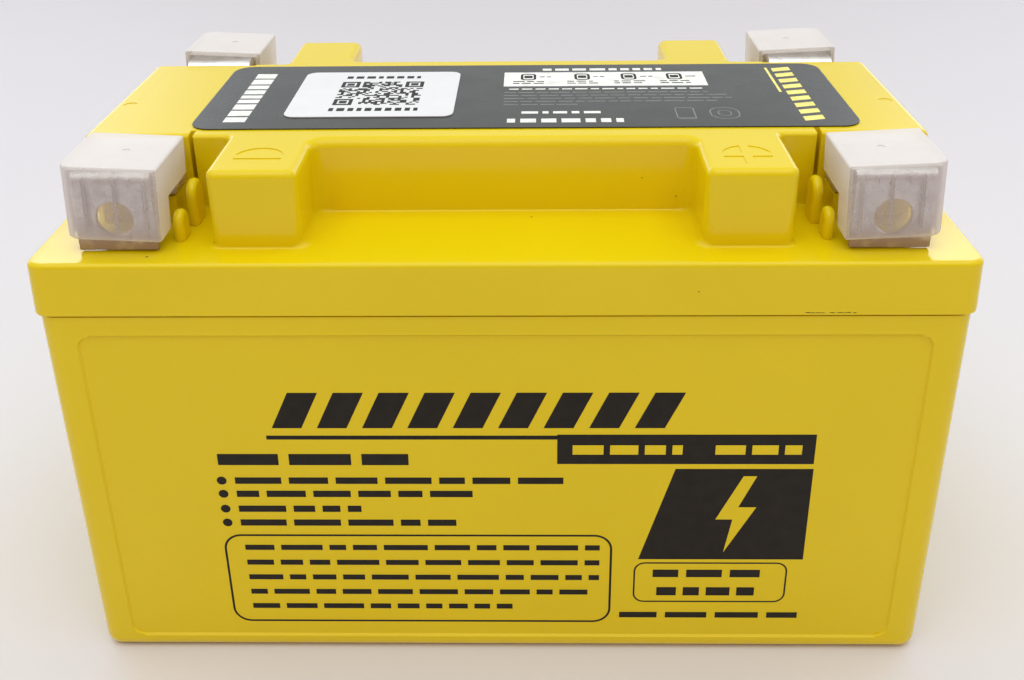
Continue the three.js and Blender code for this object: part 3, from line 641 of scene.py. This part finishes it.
def case_layer(height, drop, recess, narrowing):
    """One outline of the case, with the four walls sunk over the width of their panels.

    drop is how far the whole outline is moved in, recess how deep the panels lie here, and
    narrowing how much their half width is reduced by the rounding of their corners.
    """
    lean = CASE_DRAFT * (1 - height / CASE_STEP)
    half_x = CASE_TOP_HALF_X - lean
    half_y = CASE_TOP_HALF_Y - lean
    corners = level(rectangle(half_x, half_y, CASE_CORNER), height, drop)
    per_corner = ARC_STEPS + 1
    walls = [
        (Vector((1, 0)), Vector((0, 1)), half_y - drop, PANEL_HALF_X - narrowing),
        (Vector((0, 1)), Vector((-1, 0)), half_x - drop, PANEL_HALF_Y - narrowing),
        (Vector((-1, 0)), Vector((0, -1)), half_y - drop, PANEL_HALF_X - narrowing),
        (Vector((0, -1)), Vector((1, 0)), half_x - drop, PANEL_HALF_Y - narrowing),
    ]
    points = []
    for index, (along, inward, distance, half) in enumerate(walls):
        points += corners[index * per_corner:(index + 1) * per_corner]
        for place, depth in (
            (-half - PANEL_SLOPE, 0.0),
            (-half, recess),
            (half, recess),
            (half + PANEL_SLOPE, 0.0),
        ):
            point = along * place - inward * (distance - depth)
            points.append((point.x, point.y, height))
    return points


def panel_layers():
    """Heights of the panel from its bottom to its top, with its rounded corners."""
    layers = []
    for angle in quarter_turn(PANEL_CORNER_STEPS):
        height = PANEL_CORNER * (1 - math.cos(angle))
        narrowing = PANEL_CORNER * (1 - math.sin(angle))
        layers.append((height, narrowing))
    bottom = [(PANEL_BOTTOM + height, narrowing) for height, narrowing in layers]
    top = [(PANEL_TOP - height, narrowing) for height, narrowing in reversed(layers)]
    return bottom + top


def make_case():
    layers = []
    for angle in quarter_turn():
        height = CASE_BOTTOM_ROUND * (1 - math.cos(angle))
        drop = CASE_BOTTOM_ROUND * (1 - math.sin(angle))
        layers.append(case_layer(height, drop, 0.0, PANEL_CORNER))
    layers.append(case_layer(PANEL_BOTTOM - PANEL_SLOPE, 0.0, 0.0, PANEL_CORNER))
    for height, narrowing in panel_layers():
        layers.append(case_layer(height, 0.0, PANEL_DEPTH, narrowing))
    layers.append(case_layer(PANEL_TOP + PANEL_SLOPE, 0.0, 0.0, PANEL_CORNER))
    layers.append(case_layer(CASE_STEP, 0.0, 0.0, PANEL_CORNER))
    layers.append(case_layer(CASE_STEP, RIM_INSET, 0.0, PANEL_CORNER))
    layers.append(case_layer(CASE_RIM, RIM_INSET, 0.0, PANEL_CORNER))
    case = new_object("case_shell", loft(layers))
    smooth(case)
    return case


# ---------------------------------------------------------------- lid


def skirt_mesh():
    """The lid's plate and skirt, hollow below."""
    outer = rectangle(LID_HALF_X, LID_HALF_Y, LID_CORNER)
    layers = [
        level(outer, PLATE_UNDERSIDE, SKIRT_WALL),
        level(outer, SKIRT_BOTTOM, SKIRT_WALL),
        level(outer, SKIRT_BOTTOM, LIP_ROUND),
    ]
    for angle in quarter_turn(ARC_STEPS // 2)[1:]:
        height = SKIRT_BOTTOM + LIP_ROUND * (1 - math.cos(angle))
        layers.append(level(outer, height, LIP_ROUND * (1 - math.sin(angle))))
    for angle in quarter_turn():
        height = SHOULDER - LID_EDGE * (1 - math.sin(angle))
        layers.append(level(outer, height, LID_DRAFT + LID_EDGE * (1 - math.cos(angle))))
    return loft(layers)


def deck_quarter(sign_x, sign_y):
    """Corners of one quarter of the deck, from its end to the middle.

    Grooves are at the front only.
    """
    flank = terminal_x(sign_y) - GROOVE_INSET
    outer = block_outer_x(sign_y)
    quarter = [(DECK_HALF_X, DECK_HALF_Y, BLOCK_CORNER)]
    if sign_y < 0:
        quarter += [
            (flank + GROOVE_WIDTH / 2, DECK_HALF_Y, GROOVE_MOUTH),
            (flank + GROOVE_WIDTH / 2, GROOVE_INNER_Y, GROOVE_CORNER),
            (flank - GROOVE_WIDTH / 2, GROOVE_INNER_Y, GROOVE_CORNER),
            (flank - GROOVE_WIDTH / 2, FLANK_HALF_Y, GROOVE_MOUTH),
        ]
    else:
        quarter += [(flank, DECK_HALF_Y, GROOVE_CORNER), (flank, FLANK_HALF_Y, GROOVE_MOUTH)]
    quarter += [
        (outer, FLANK_HALF_Y, BLOCK_ROOT),
        (outer, BLOCK_OUTER_Y, BLOCK_CORNER),
        (BLOCK_INNER_X, BLOCK_OUTER_Y, BLOCK_CORNER),
        (BLOCK_INNER_X, MIDDLE_HALF_Y, RECESS_CORNER),
    ]
    return [(sign_x * x, sign_y * y, radius) for x, y, radius in quarter]


def deck_plan():
    plan = []
    for sign_x, sign_y in ((1, 1), (-1, 1), (-1, -1), (1, -1)):
        part = deck_quarter(sign_x, sign_y)
        plan += part if sign_x * sign_y > 0 else part[::-1]
    return plan


def edge_finish(start, end):
    """The top rounding and the foot fillet of one wall of the deck."""
    middle_x = abs(start[0] + end[0]) / 2
    middle_y = abs(start[1] + end[1]) / 2
    along_x = abs(start[1] - end[1]) < SMALLEST_RADIUS
    length = math.dist(start[:2], end[:2])
    if length < 2 * GROOVE_WIDTH or (not along_x and GROOVE_INNER_Y < middle_y < FLANK_HALF_Y):
        return GROOVE_FINISH
    if along_x and abs(middle_y - FLANK_HALF_Y) < SMALLEST_RADIUS:
        return FLANK_FINISH
    if along_x and abs(middle_y - DECK_HALF_Y) < SMALLEST_RADIUS:
        return END_FLANK_FINISH
    if along_x and abs(middle_y - MIDDLE_HALF_Y) < SMALLEST_RADIUS:
        return RECESS_FINISH
    if along_x:
        return BLOCK_FACE_FINISH
    if abs(middle_x - BLOCK_INNER_X) < SMALLEST_RADIUS:
        return BLOCK_INNER_FINISH
    if middle_x < FRONT_BLOCK_OUTER_X + SMALLEST_RADIUS:
        return BLOCK_OUTER_FINISH
    return DECK_END_FINISH


def deck_mesh():
    plan = deck_plan()
    finishes = []
    for index, corner in enumerate(plan):
        finishes.append(edge_finish(corner, plan[(index + 1) % len(plan)]))
    layers = []
    for angle in quarter_turn():
        insets = [-foot * (1 - math.sin(angle)) for _, foot in finishes]
        heights = [SHOULDER + foot * (1 - math.cos(angle)) for _, foot in finishes]
        layers.append(rounded_outline(plan, insets, heights))
    for angle in quarter_turn():
        insets = [top * (1 - math.cos(angle)) for top, _ in finishes]
        heights = [DECK_TOP - top * (1 - math.sin(angle)) for top, _ in finishes]
        layers.append(rounded_outline(plan, insets, heights))
    return loft(layers)


def bar_across(x, y, half_x, half_y):
    low = (x - half_x, y - half_y, DECK_TOP - 2 * MARK_DEPTH)
    high = (x + half_x, y + half_y, DECK_TOP + 2 * CUT_OVERRUN)
    return box_mesh(low, high)


def polarity_dish(sign_x):
    """The sunk ground round a minus sign, or round a plus sign at +X."""
    x = sign_x * MARK_X
    y = -MARK_Y
    bottom = DECK_TOP - MARK_DEPTH
    dish = new_object("dish", cylinder_mesh(x, y, MARK_RADIUS, bottom, DECK_TOP + CUT_OVERRUN))
    reach = MARK_RADIUS + CUT_OVERRUN
    cut(dish, bar_across(x, y, reach, MARK_BAR_HALF))
    if sign_x > 0:
        cut(dish, bar_across(x, y, MARK_BAR_HALF, reach))
    mesh = dish.data
    bpy.data.objects.remove(dish)
    return mesh


def tab_mesh(sign_x, sign_y, tab):
    """An upright fin with a round top, seen from the side."""
    inset, near, far, top = tab
    radius = (far - near) / 2
    profile = [(near, SHOULDER - ROOT_DEPTH), (far, SHOULDER - ROOT_DEPTH)]
    profile += arc((near + radius, top - radius), radius, 0, 180, TAB_ARC_STEPS)
    fin = new_object("fin", profile_mesh(profile, TAB_HALF_X))
    bevel(fin, TAB_ROUND, TAB_ROUND_STEPS)
    mesh = fin.data
    bpy.data.objects.remove(fin)
    return turned(mesh, sign_x, sign_y, inset)


def make_lid():
    deck = new_object("deck", deck_mesh())
    for sign_x in SIDES:
        cut(deck, polarity_dish(sign_x))
        x = sign_x * DIMPLE_X
        bottom = DECK_TOP - DIMPLE_DEPTH
        cut(deck, cylinder_mesh(x, DIMPLE_Y, DIMPLE_RADIUS, bottom, DECK_TOP + CUT_OVERRUN))
    deck_shape = deck.data
    bpy.data.objects.remove(deck)
    parts = [skirt_mesh(), deck_shape]
    for sign_x in SIDES:
        for sign_y in SIDES:
            centre = terminal_x(sign_y)
            span_x = (centre - STRIP_HALF_X, centre + STRIP_HALF_X)
            span_y = (DECK_HALF_Y - LEDGE_OVERLAP, LEDGE_FRONT_Y)
            span_z = (SHOULDER - ROOT_DEPTH, LEDGE_TOP)
            parts.append(sided_box(sign_x, sign_y, span_x, span_y, span_z))
            parts.append(tab_mesh(sign_x, sign_y, SHORT_TAB))
            parts.append(tab_mesh(sign_x, sign_y, TALL_TAB))
    lid = joined("lid_moulding", parts)
    smooth(lid)
    return lid


# ---------------------------------------------------------------- terminals and caps


def hook_profile():
    inner = BEND - STRIP
    back = (BACK_FACE_Y + BEND, STRIP_TOP - BEND)
    front = (FRONT_FACE_Y - BEND, STRIP_TOP - BEND)
    return [
        (BACK_FACE_Y, FOOT_BOTTOM),
        (FOOT_FRONT_Y, FOOT_BOTTOM),
        (FOOT_FRONT_Y, FOOT_BOTTOM + STRIP),
        (BACK_FACE_Y + STRIP, FOOT_BOTTOM + STRIP),
        *arc(back, inner, 180, 90),
        *arc(front, inner, 90, 0),
        (FRONT_FACE_Y - STRIP, STRIP_BOTTOM),
        (FRONT_FACE_Y, STRIP_BOTTOM),
        *arc(front, BEND, 0, 90),
        *arc(back, BEND, 90, 180),
    ]


def bolt_hole():
    mesh = cylinder_mesh(0, 0, BOLT_HOLE_RADIUS, -STRIP, STRIP)
    mesh.transform(Matrix.Rotation(math.pi / 2, 4, "X"))
    mesh.transform(Matrix.Translation((0, -(FRONT_FACE_Y - STRIP / 2) * MM, BOLT_HOLE_Z * MM)))
    return mesh


def make_terminal(place, sign_x, sign_y):
    hook = new_object("hook", profile_mesh(hook_profile(), STRIP_HALF_X))
    cut(hook, bolt_hole())
    bevel(hook, STRIP_EDGE, STRIP_EDGE_STEPS)
    hook_shape = hook.data
    bpy.data.objects.remove(hook)
    offset = -sign_x * sign_y * (FRONT_TERMINAL_X - terminal_x(sign_y))
    tongue = box_mesh(
        (offset - TONGUE_HALF_X, -(BACK_FACE_Y + STRIP / 2), FOOT_BOTTOM + TONGUE_CLEARANCE),
        (offset + TONGUE_HALF_X, -TONGUE_TIP_Y, FOOT_BOTTOM + STRIP - TONGUE_CLEARANCE),
    )
    shapes = [turned(shape, sign_x, sign_y) for shape in (hook_shape, tongue)]
    terminal = joined(f"terminal_strip_{place}", shapes)
    smooth(terminal)
    return terminal


def cap_profile():
    return [
        (CAP_BACK_Y, CAP_TOP),
        (CAP_BACK_Y, CAP_SIDE_BOTTOM),
        (CAP_LEG_BACK_Y, CAP_SIDE_BOTTOM),
        (CAP_LEG_BACK_Y, CAP_LEG_BOTTOM + CAP_CHAMFER),
        (CAP_LEG_BACK_Y + CAP_CHAMFER, CAP_LEG_BOTTOM),
        (CAP_FRONT_Y, CAP_LEG_BOTTOM),
        (CAP_FRONT_Y, CAP_TOP),
    ]


def round_upright(piece, x, y, radius):
    """Rounds the one upright edge of a piece that stands at (x, y)."""
    shape = bmesh.new()
    shape.from_mesh(piece.data)
    place = Vector((x, y)) * MM
    edges = []
    for edge in shape.edges:
        if all((end.co.xy - place).length < SMALLEST_RADIUS * MM for end in edge.verts):
            edges.append(edge)
    bmesh.ops.bevel(
        shape,
        geom=edges,
        offset=radius * MM,
        segments=ARC_STEPS,
        profile=0.5,
        affect="EDGES",
        clamp_overlap=True,
    )
    shape.to_mesh(piece.data)
    shape.free()


def make_cap(place, sign_x, sign_y):
    outwards = -sign_x * sign_y
    hood = new_object("hood", profile_mesh(cap_profile(), CAP_HALF_X))
    round_upright(hood, outwards * CAP_HALF_X, -CAP_FRONT_Y, CAP_OUTER_ROUND)
    bevel(hood, CAP_EDGE)
    half_inside = CAP_HALF_X - CAP_WALL
    inside_front = CAP_FRONT_Y - CAP_WALL
    room = new_object(
        "room",
        box_mesh(
            (-half_inside, -inside_front, CAP_LEG_BOTTOM - CUT_OVERRUN),
            (half_inside, -(CAP_BACK_Y - CUT_OVERRUN), CAP_TOP - CAP_WALL),
        ),
    )
    round_upright(room, outwards * half_inside, -inside_front, CAP_INNER_ROUND)
    bevel(room, CAP_INNER_EDGE)
    gate_x = -outwards * GATE_X
    gate_y = -(CAP_FRONT_Y + CAP_BACK_Y) / 2
    gate_bottom = CAP_TOP - GATE_DEPTH
    cut(hood, cylinder_mesh(gate_x, gate_y, GATE_RADIUS, gate_bottom, CAP_TOP + CUT_OVERRUN))
    cutter = room.data
    bpy.data.objects.remove(room)
    cut(hood, cutter)
    parts = [hood.data]
    bpy.data.objects.remove(hood)
    for inwards, bottom in RIBS:
        rib_x = -outwards * inwards
        low = (rib_x - RIB_HALF, -CAP_FRONT_Y - RIB_PROUD, bottom)
        high = (rib_x + RIB_HALF, -inside_front + RIB_DEPTH, RIB_TOP)
        parts.append(box_mesh(low, high))
    tip = Matrix.Rotation(sign_x * sign_y * CAP_LEAN, 4, "Y")
    lean = Matrix.Translation((0, 0, CAP_LEAN_Z * MM)) @ tip
    lean = lean @ Matrix.Translation((0, 0, -CAP_LEAN_Z * MM))
    for part in parts:
        part.transform(lean)
    cap = joined(f"cap_hood_{place}", [turned(part, sign_x, sign_y) for part in parts])
    smooth(cap)
    return cap


# ---------------------------------------------------------------- printed graphics


class Print:
    """Flat printed shapes, all in one piece, drawn in (a, b) and put on a surface."""

    def __init__(self, surface):
        self.surface = surface
        self.points = []
        self.faces = []

    def shape(self, outline):
        start = len(self.points)
        self.points += [self.surface(a, b) for a, b in outline]
        self.faces.append(tuple(range(start, start + len(outline))))

    def bar(self, a0, a1, b0, b1, slant=0.0):
        self.shape([(a0, b0), (a1, b0), (a1 + slant, b1), (a0 + slant, b1)])

    def disc(self, a, b, radius):
        self.shape(disc_points(a, b, radius, DISC_POINTS))

    def frame(self, a0, a1, b0, b1, radius, line):
        """A rounded rectangle drawn as a line."""
        half_a = (a1 - a0) / 2
        half_b = (b1 - b0) / 2
        centre_a = (a0 + a1) / 2
        centre_b = (b0 + b1) / 2
        outer = level(rectangle(half_a, half_b, radius), 0)
        inner = level(rectangle(half_a, half_b, radius), 0, line)
        start = len(self.points)
        for a, b, _ in outer + inner:
            self.points.append(self.surface(a + centre_a, b + centre_b))
        count = len(outer)
        for index in range(count):
            here = start + index
            after = start + (index + 1) % count
            self.faces.append((here, after, after + count, here + count))

    def dashes(self, a0, a1, middle, height, seed, longest=8.0, gap=1.3):
        """A row of plain dashes that stands in for a line of small print."""
        chance = random.Random(seed)
        a = a0
        while a < a1 - gap:
            b = min(a + chance.uniform(0.35, 1.0) * longest, a1)
            self.bar(a, b, middle - height / 2, middle + height / 2)
            a = b + gap

    def make(self, name, body, slot, material):
        piece = new_object(name, mesh_from(self.points, self.faces, name))
        piece.data.materials.append(material)
        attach(piece, body)
        return piece


def front_panel(a, b):
    lean = CASE_DRAFT * (1 - b / CASE_STEP)
    return (a, -(CASE_TOP_HALF_Y - lean - PANEL_DEPTH) - PANEL_PRINT_GAP, b)


def above_label(height):
    return lambda a, b: (a, b, height)


def bolt_outline(a, b, size):
    """A plain lightning flash."""
    shape = [(0.1, 1.0), (-0.42, -0.12), (-0.06, -0.12), (-0.2, -1.0)]
    shape += [(0.42, 0.2), (0.04, 0.2), (0.38, 1.0)]
    return [(a + x * size, b + y * size) for x, y in shape]


def front_print():
    dark = Print(front_panel)
    for index in range(9):
        left = -39.0 + index * 7.6
        dark.bar(left, left + 5.0, 48.6, 55.6, 3.2)
    dark.bar(-40.1, 9.2, 46.3, 47.1)
    dark.bar(8.9, 52.2, 41.3, 47.3)
    dark.shape([(23.3, 20.8), (52.3, 20.8), (52.3, 40.3), (29.0, 40.3)])
    dark.frame(22.6, 49.8, 11.0, 20.1, 2.0, 0.3)
    dark.dashes(26.0, 46.5, 17.6, 1.7, 3, 9.0, 1.4)
    dark.dashes(26.8, 45.5, 13.5, 1.9, 4, 7.0, 1.2)
    dark.dashes(20.3, 52.4, 8.0, 1.3, 5, 9.0, 1.5)
    dark.dashes(-48.9, -13.0, 42.2, 2.3, 6, 12.0, 1.8)
    for row, (height, end) in enumerate(((37.8, 10.0), (35.0, -4.0), (31.8, -25.0), (28.8, -8.6))):
        dark.disc(-48.7, height, 0.85)
        dark.dashes(-46.4, end, height, 1.35, 20 + row, 8.5, 1.3)
    dark.frame(-49.9, 18.7, 6.2, 26.2, 3.2, 0.4)
    for row, end in enumerate((16.5, 16.5, 16.5, 16.5, 1.0)):
        dark.dashes(-46.2, end, 23.3 - 3.35 * row, 1.15, 40 + row, 8.0, 1.2)
    return dark


def front_knockout():
    pale = Print(lambda a, b: tuple(Vector(front_panel(a, b)) - Vector((0, PANEL_PRINT_GAP, 0))))
    pale.dashes(11.5, 30.0, 44.2, 1.9, 9, 8.0, 1.1)
    pale.dashes(35.5, 50.0, 44.2, 1.9, 10, 7.0, 1.1)
    pale.shape(bolt_outline(39.8, 30.6, 8.2))
    return pale


def label_prints(surface):
    """Pale print on the dark label: returns white, grey and yellow shapes."""
    white = Print(surface)
    chance = random.Random(12)
    place = -15.2
    while place < 13.5:
        length = chance.uniform(1.8, 3.4)
        white.bar(-49.2, -45.3, place, min(place + length, 14.2))
        place += length + 0.7
    white.bar(-0.5, 38.2, 4.3, 13.2)
    white.dashes(7.0, 30.4, 15.0, 1.4, 13, 3.4, 0.7)
    white.dashes(0.6, 36.8, 2.6, 0.6, 16, 3.0, 0.6)
    white.dashes(0.5, 20.8, -15.2, 2.0, 14, 3.4, 0.9)
    white.dashes(3.0, 18.0, -10.9, 1.2, 15, 3.0, 0.8)
    grey = Print(surface)
    for row, end in enumerate((37.5, 41.0, 41.5, 39.0, 14.0)):
        grey.dashes(-0.3, end, 0.5 - 1.75 * row, 0.4, 60 + row, 4.0, 0.5)
    grey.frame(30.2, 33.6, -14.8, -8.6, 0.6, 0.22)
    grey.bar(30.2, 33.3, -14.4, -14.1)
    grey.frame(36.2, 41.4, -14.8, -8.6, 2.4, 0.22)
    grey.frame(37.6, 40.0, -13.2, -10.2, 1.1, 0.2)
    yellow = Print(surface)
    place = -16.0
    while place < 13.0:
        outline = [(52.0, place), (55.6, place + 0.9), (55.6, place + 3.1), (52.0, place + 2.2)]
        yellow.shape(outline)
        place += 3.6
    yellow.bar(50.7, 51.2, 0.0, 15.4)
    return white, grey, yellow


def label_icons(surface):
    """Small dark pictures with rows of print below them, on the white strip of the label."""
    icons = Print(surface)
    for index, centre in enumerate((4.2, 14.6, 23.6, 32.4)):
        icons.frame(centre - 1.5, centre + 1.5, 8.2, 12.2, 0.9, 0.5)
        icons.bar(centre - 0.8, centre + 0.8, 9.4, 11.0)
        icons.dashes(centre - 3.0, centre + 3.0, 7.3, 0.5, 70 + index, 2.4, 0.5)
        icons.dashes(centre - 3.0, centre + 3.0, 6.1, 0.5, 80 + index, 2.4, 0.5)
        icons.dashes(centre + 2.2, centre + 4.6, 10.2, 0.45, 90 + index, 2.0, 0.4)
    return icons


def sticker_print(surface):
    """A speckled square with framed corners and two rows of marks, with no code in them."""
    dark = Print(surface)
    chance = random.Random(5)
    cell = 0.58
    columns = 27
    rows = 24
    left = -31.4
    bottom = -6.8
    eye = 6
    pupil = 0.7
    for row in range(rows):
        for column in range(columns):
            in_left = column < eye + 1
            in_right = column >= columns - eye - 1
            low = row < eye + 1
            high = row >= rows - eye - 1
            if (high and (in_left or in_right)) or (low and in_left):
                continue
            if chance.random() < 0.5:
                a = left + column * cell
                b = bottom + row * cell
                dark.bar(a, a + cell, b, b + cell)
    size = eye * cell
    right = left + columns * cell - size
    top = bottom + rows * cell - size
    for a, b in ((left, bottom), (left, top), (right, top)):
        dark.frame(a, a + size, b, b + size, 0.1, 0.7)
        middle_a = a + size / 2
        middle_b = b + size / 2
        dark.bar(middle_a - pupil, middle_a + pupil, middle_b - pupil, middle_b + pupil)
    dark.dashes(-31.0, -16.6, 9.9, 1.5, 17, 1.7, 0.6)
    dark.dashes(-31.6, -15.6, -9.3, 1.7, 18, 1.8, 0.6)
    return dark


# ---------------------------------------------------------------- scuffs


def fleck(prints, a, b, length, width, tilt, seed):
    """A small irregular dark mark."""
    chance = random.Random(seed)
    outline = []
    for index in range(FLECK_POINTS):
        turn = 2 * math.pi * index / FLECK_POINTS
        reach = chance.uniform(0.7, 1.1)
        x = length / 2 * math.cos(turn) * reach
        y = width / 2 * math.sin(turn) * reach
        across = x * math.cos(tilt) - y * math.sin(tilt)
        along = x * math.sin(tilt) + y * math.cos(tilt)
        outline.append((a + across, b + along))
    prints.shape(outline)


def skirt_face(a, b):
    lean = LID_DRAFT * (b - SKIRT_BOTTOM) / (SHOULDER - SKIRT_BOTTOM)
    return (a, -LID_HALF_Y + lean - SKIRT_MARK_GAP, b)


def scuffs():
    """Specks and a scraped seam: three prints, for the shoulder, recess wall and skirt."""
    shoulder = Print(lambda a, b: (a, b, SHOULDER + PRINT_GAP))
    fleck(shoulder, -56.3, -40.9, 0.55, 0.35, 0.3, 1)
    fleck(shoulder, 4.7, -26.1, 0.5, 0.25, 1.0, 2)
    wall = Print(lambda a, b: (a, -MIDDLE_HALF_Y - PRINT_GAP, b))
    fleck(wall, 23.5, 85.6, 0.3, 0.22, 0.5, 3)
    fleck(wall, 29.4, 82.2, 0.35, 0.25, 0.2, 4)
    skirt = Print(skirt_face)
    fleck(skirt, 30.9, 74.7, 0.28, 0.2, 0.0, 5)
    chance = random.Random(8)
    place = SCRAPE_START
    while place < SCRAPE_END:
        length = chance.uniform(0.6, 1.8)
        height = SCRAPE_Z + chance.uniform(-0.04, 0.04)
        fleck(skirt, place, height, length, SCRAPE_WIDTH, 0.0, int(place * 10))
        place += length * chance.uniform(0.7, 1.3)
    return shoulder, wall, skirt


# ---------------------------------------------------------------- set: camera, light, floor


def make_camera():
    pitch = math.radians(CAMERA_PITCH)
    yaw = math.radians(CAMERA_YAW)
    roll = math.radians(CAMERA_ROLL)
    ahead = math.cos(pitch)
    forward = Vector((math.sin(yaw) * ahead, math.cos(yaw) * ahead, -math.sin(pitch)))
    right = Vector((math.cos(yaw), -math.sin(yaw), 0))
    up = right.cross(forward)
    rolled_right = right * math.cos(roll) + up * math.sin(roll)
    rolled_up = up * math.cos(roll) - right * math.sin(roll)
    data = bpy.data.cameras.new("camera")
    data.sensor_width = SENSOR_WIDTH
    data.lens = FOCAL_PIXELS / IMAGE_WIDTH * SENSOR_WIDTH
    data.shift_y = SHIFT_Y
    data.clip_start = CLIP_START
    camera = bpy.data.objects.new("camera", data)
    turn = Matrix((rolled_right, rolled_up, -forward)).transposed()
    camera.matrix_world = Matrix.Translation(Vector(CAMERA_PLACE) * MM) @ turn.to_4x4()
    bpy.context.scene.collection.objects.link(camera)
    bpy.context.scene.camera = camera


def softbox(name, place, aim, width, depth, watts, tint):
    data = bpy.data.lights.new(name, "AREA")
    data.shape = "RECTANGLE"
    data.size = width
    data.size_y = depth
    data.energy = watts
    data.color = tint
    light = bpy.data.objects.new(name, data)
    light.location = place
    light.rotation_euler = (Vector(aim) - Vector(place)).to_track_quat("-Z", "Y").to_euler()
    bpy.context.scene.collection.objects.link(light)


def make_tent():
    """A white tent round the set, brighter behind and brightest behind at the sides."""
    world = bpy.data.worlds.new("studio")
    bpy.context.scene.world = world
    world.use_nodes = True
    nodes = Nodes(world.node_tree)
    background = world.node_tree.nodes["Background"]
    where = nodes.add("ShaderNodeTexCoord")
    parts = nodes.add("ShaderNodeSeparateXYZ")
    nodes.link(where.outputs["Generated"], parts.inputs["Vector"])
    toward = parts.outputs["Y"]
    upward = parts.outputs["Z"]
    across = nodes.math("ABSOLUTE", parts.outputs["X"], 0.0)
    depth = nodes.spread(toward, 0.0, 1.0, *DEPTH_FADE)
    behind = nodes.spread(toward, 0.0, 1.0, *BEHIND_FADE)
    height = nodes.spread(upward, 0.0, 1.0, *FRONT_HEIGHT_FADE)
    wing = nodes.math("MULTIPLY", nodes.spread(across, 0.0, 1.0, *WING_SIDE_FADE), behind)
    wing = nodes.math("MULTIPLY", wing, nodes.spread(upward, 1.0, 0.0, *WING_TOP_FADE))
    strip = nodes.math("MULTIPLY", behind, nodes.spread(upward, 0.0, 1.0, *STRIP_BOTTOM_FADE))
    strip = nodes.math("MULTIPLY", strip, nodes.spread(upward, 1.0, 0.0, *STRIP_TOP_FADE))
    strip = nodes.math("MULTIPLY", strip, nodes.spread(across, 0.0, 1.0, *STRIP_INNER_FADE))
    strip = nodes.math("MULTIPLY", strip, nodes.spread(across, 1.0, 0.0, *STRIP_OUTER_FADE))
    front = nodes.blend(height, opaque(LOW_FRONT_GLOW), opaque(HIGH_FRONT_GLOW))
    tent = nodes.blend(depth, front, opaque(BACK_GLOW))
    tent = nodes.blend(wing, tent, opaque(WING_GLOW))
    tent = nodes.blend(strip, tent, opaque(STRIP_GLOW))
    nodes.link(tent, background.inputs["Color"])


def make_floor():
    corners = [(-FLOOR_HALF, -FLOOR_HALF, 0), (FLOOR_HALF, -FLOOR_HALF, 0)]
    corners += [(FLOOR_HALF, FLOOR_HALF, 0), (-FLOOR_HALF, FLOOR_HALF, 0)]
    floor = new_object("floor", mesh_from(corners, [(0, 1, 2, 3)]))
    material, nodes, shader = new_material("pale_floor")
    tone = nodes.spread(nodes.noise(0.004, 3.0), 0, 1)
    color = nodes.blend(tone, opaque(FLOOR_LIGHT), opaque(FLOOR_DARK))
    nodes.link(color, shader.inputs["Base Color"])
    shader.inputs["Roughness"].default_value = FLOOR_ROUGHNESS
    floor.data.materials.append(material)


def set_view():
    view = bpy.context.scene.view_settings
    view.view_transform = "Standard"
    view.look = "None"
    view.exposure = 0.0
    view.gamma = 1.0


# ---------------------------------------------------------------- putting it together

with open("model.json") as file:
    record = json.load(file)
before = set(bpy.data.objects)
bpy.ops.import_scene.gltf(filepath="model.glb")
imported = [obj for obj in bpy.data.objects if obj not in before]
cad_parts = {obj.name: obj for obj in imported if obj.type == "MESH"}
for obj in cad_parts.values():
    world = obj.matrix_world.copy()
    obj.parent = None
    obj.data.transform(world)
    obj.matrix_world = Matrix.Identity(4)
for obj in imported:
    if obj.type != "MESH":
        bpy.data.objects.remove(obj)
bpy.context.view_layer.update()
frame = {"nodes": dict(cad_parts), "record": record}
make_camera()
make_tent()
softbox("overhead", *OVERHEAD)
softbox("window", *WINDOW)
make_floor()
set_view()
materials = make_materials()

for part in frame["record"]["subparts"]:
    node = frame["nodes"][part["node"]]
    node.data.materials.clear()
    node.data.materials.append(materials[part["material_slot"]])


def finish_piece(piece, body, slot, node):
    piece.data.materials.clear()
    piece.data.materials.append(materials[slot])
    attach(piece, body)
    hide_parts(node)


finish_piece(make_case(), "battery", "yellow_plastic", "case")
finish_piece(make_lid(), "battery", "yellow_plastic", "lid")
for sign_x, side in ((-1, "left"), (1, "right")):
    for sign_y, face in ((-1, "front"), (1, "rear")):
        corner = f"{face}_{side}"
        terminal = make_terminal(corner, sign_x, sign_y)
        finish_piece(terminal, "battery", "terminal_metal", f"terminal_{corner}")
        cap = make_cap(corner, sign_x, sign_y)
        finish_piece(cap, f"cap_{corner}", "frosted_plastic", f"terminal_cap_{corner}")

black_ink = ink("black_ink", (0.013, 0.010, 0.006))
white_ink = ink("white_ink", (0.80, 0.80, 0.74))
grey_ink = ink("grey_ink", (0.22, 0.22, 0.21))
pale_yellow_ink = ink("pale_yellow_ink", (0.85, 0.75, 0.20))
label_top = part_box("top_label")[1].z / MM
sticker_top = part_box("data_sticker")[1].z / MM
on_label = above_label(label_top + PRINT_GAP)
on_strip = above_label(label_top + 2 * PRINT_GAP)
on_sticker = above_label(sticker_top + PRINT_GAP)
front_print().make("front_print", "battery", "label_film", black_ink)
yellow_plastic_look = materials["yellow_plastic"]
front_knockout().make("front_print_gaps", "battery", "yellow_plastic", yellow_plastic_look)
white, grey, yellow = label_prints(on_label)
white.make("label_print_white", "battery", "sticker_paper", white_ink)
grey.make("label_print_grey", "battery", "sticker_paper", grey_ink)
yellow.make("label_print_yellow", "battery", "sticker_paper", pale_yellow_ink)
label_icons(on_strip).make("label_icons", "battery", "label_film", black_ink)
sticker_print(on_sticker).make("sticker_print", "battery", "label_film", black_ink)
for name, marks in zip(("shoulder", "recess", "skirt"), scuffs()):
    marks.make(f"scuffs_{name}", "battery", "label_film", black_ink)
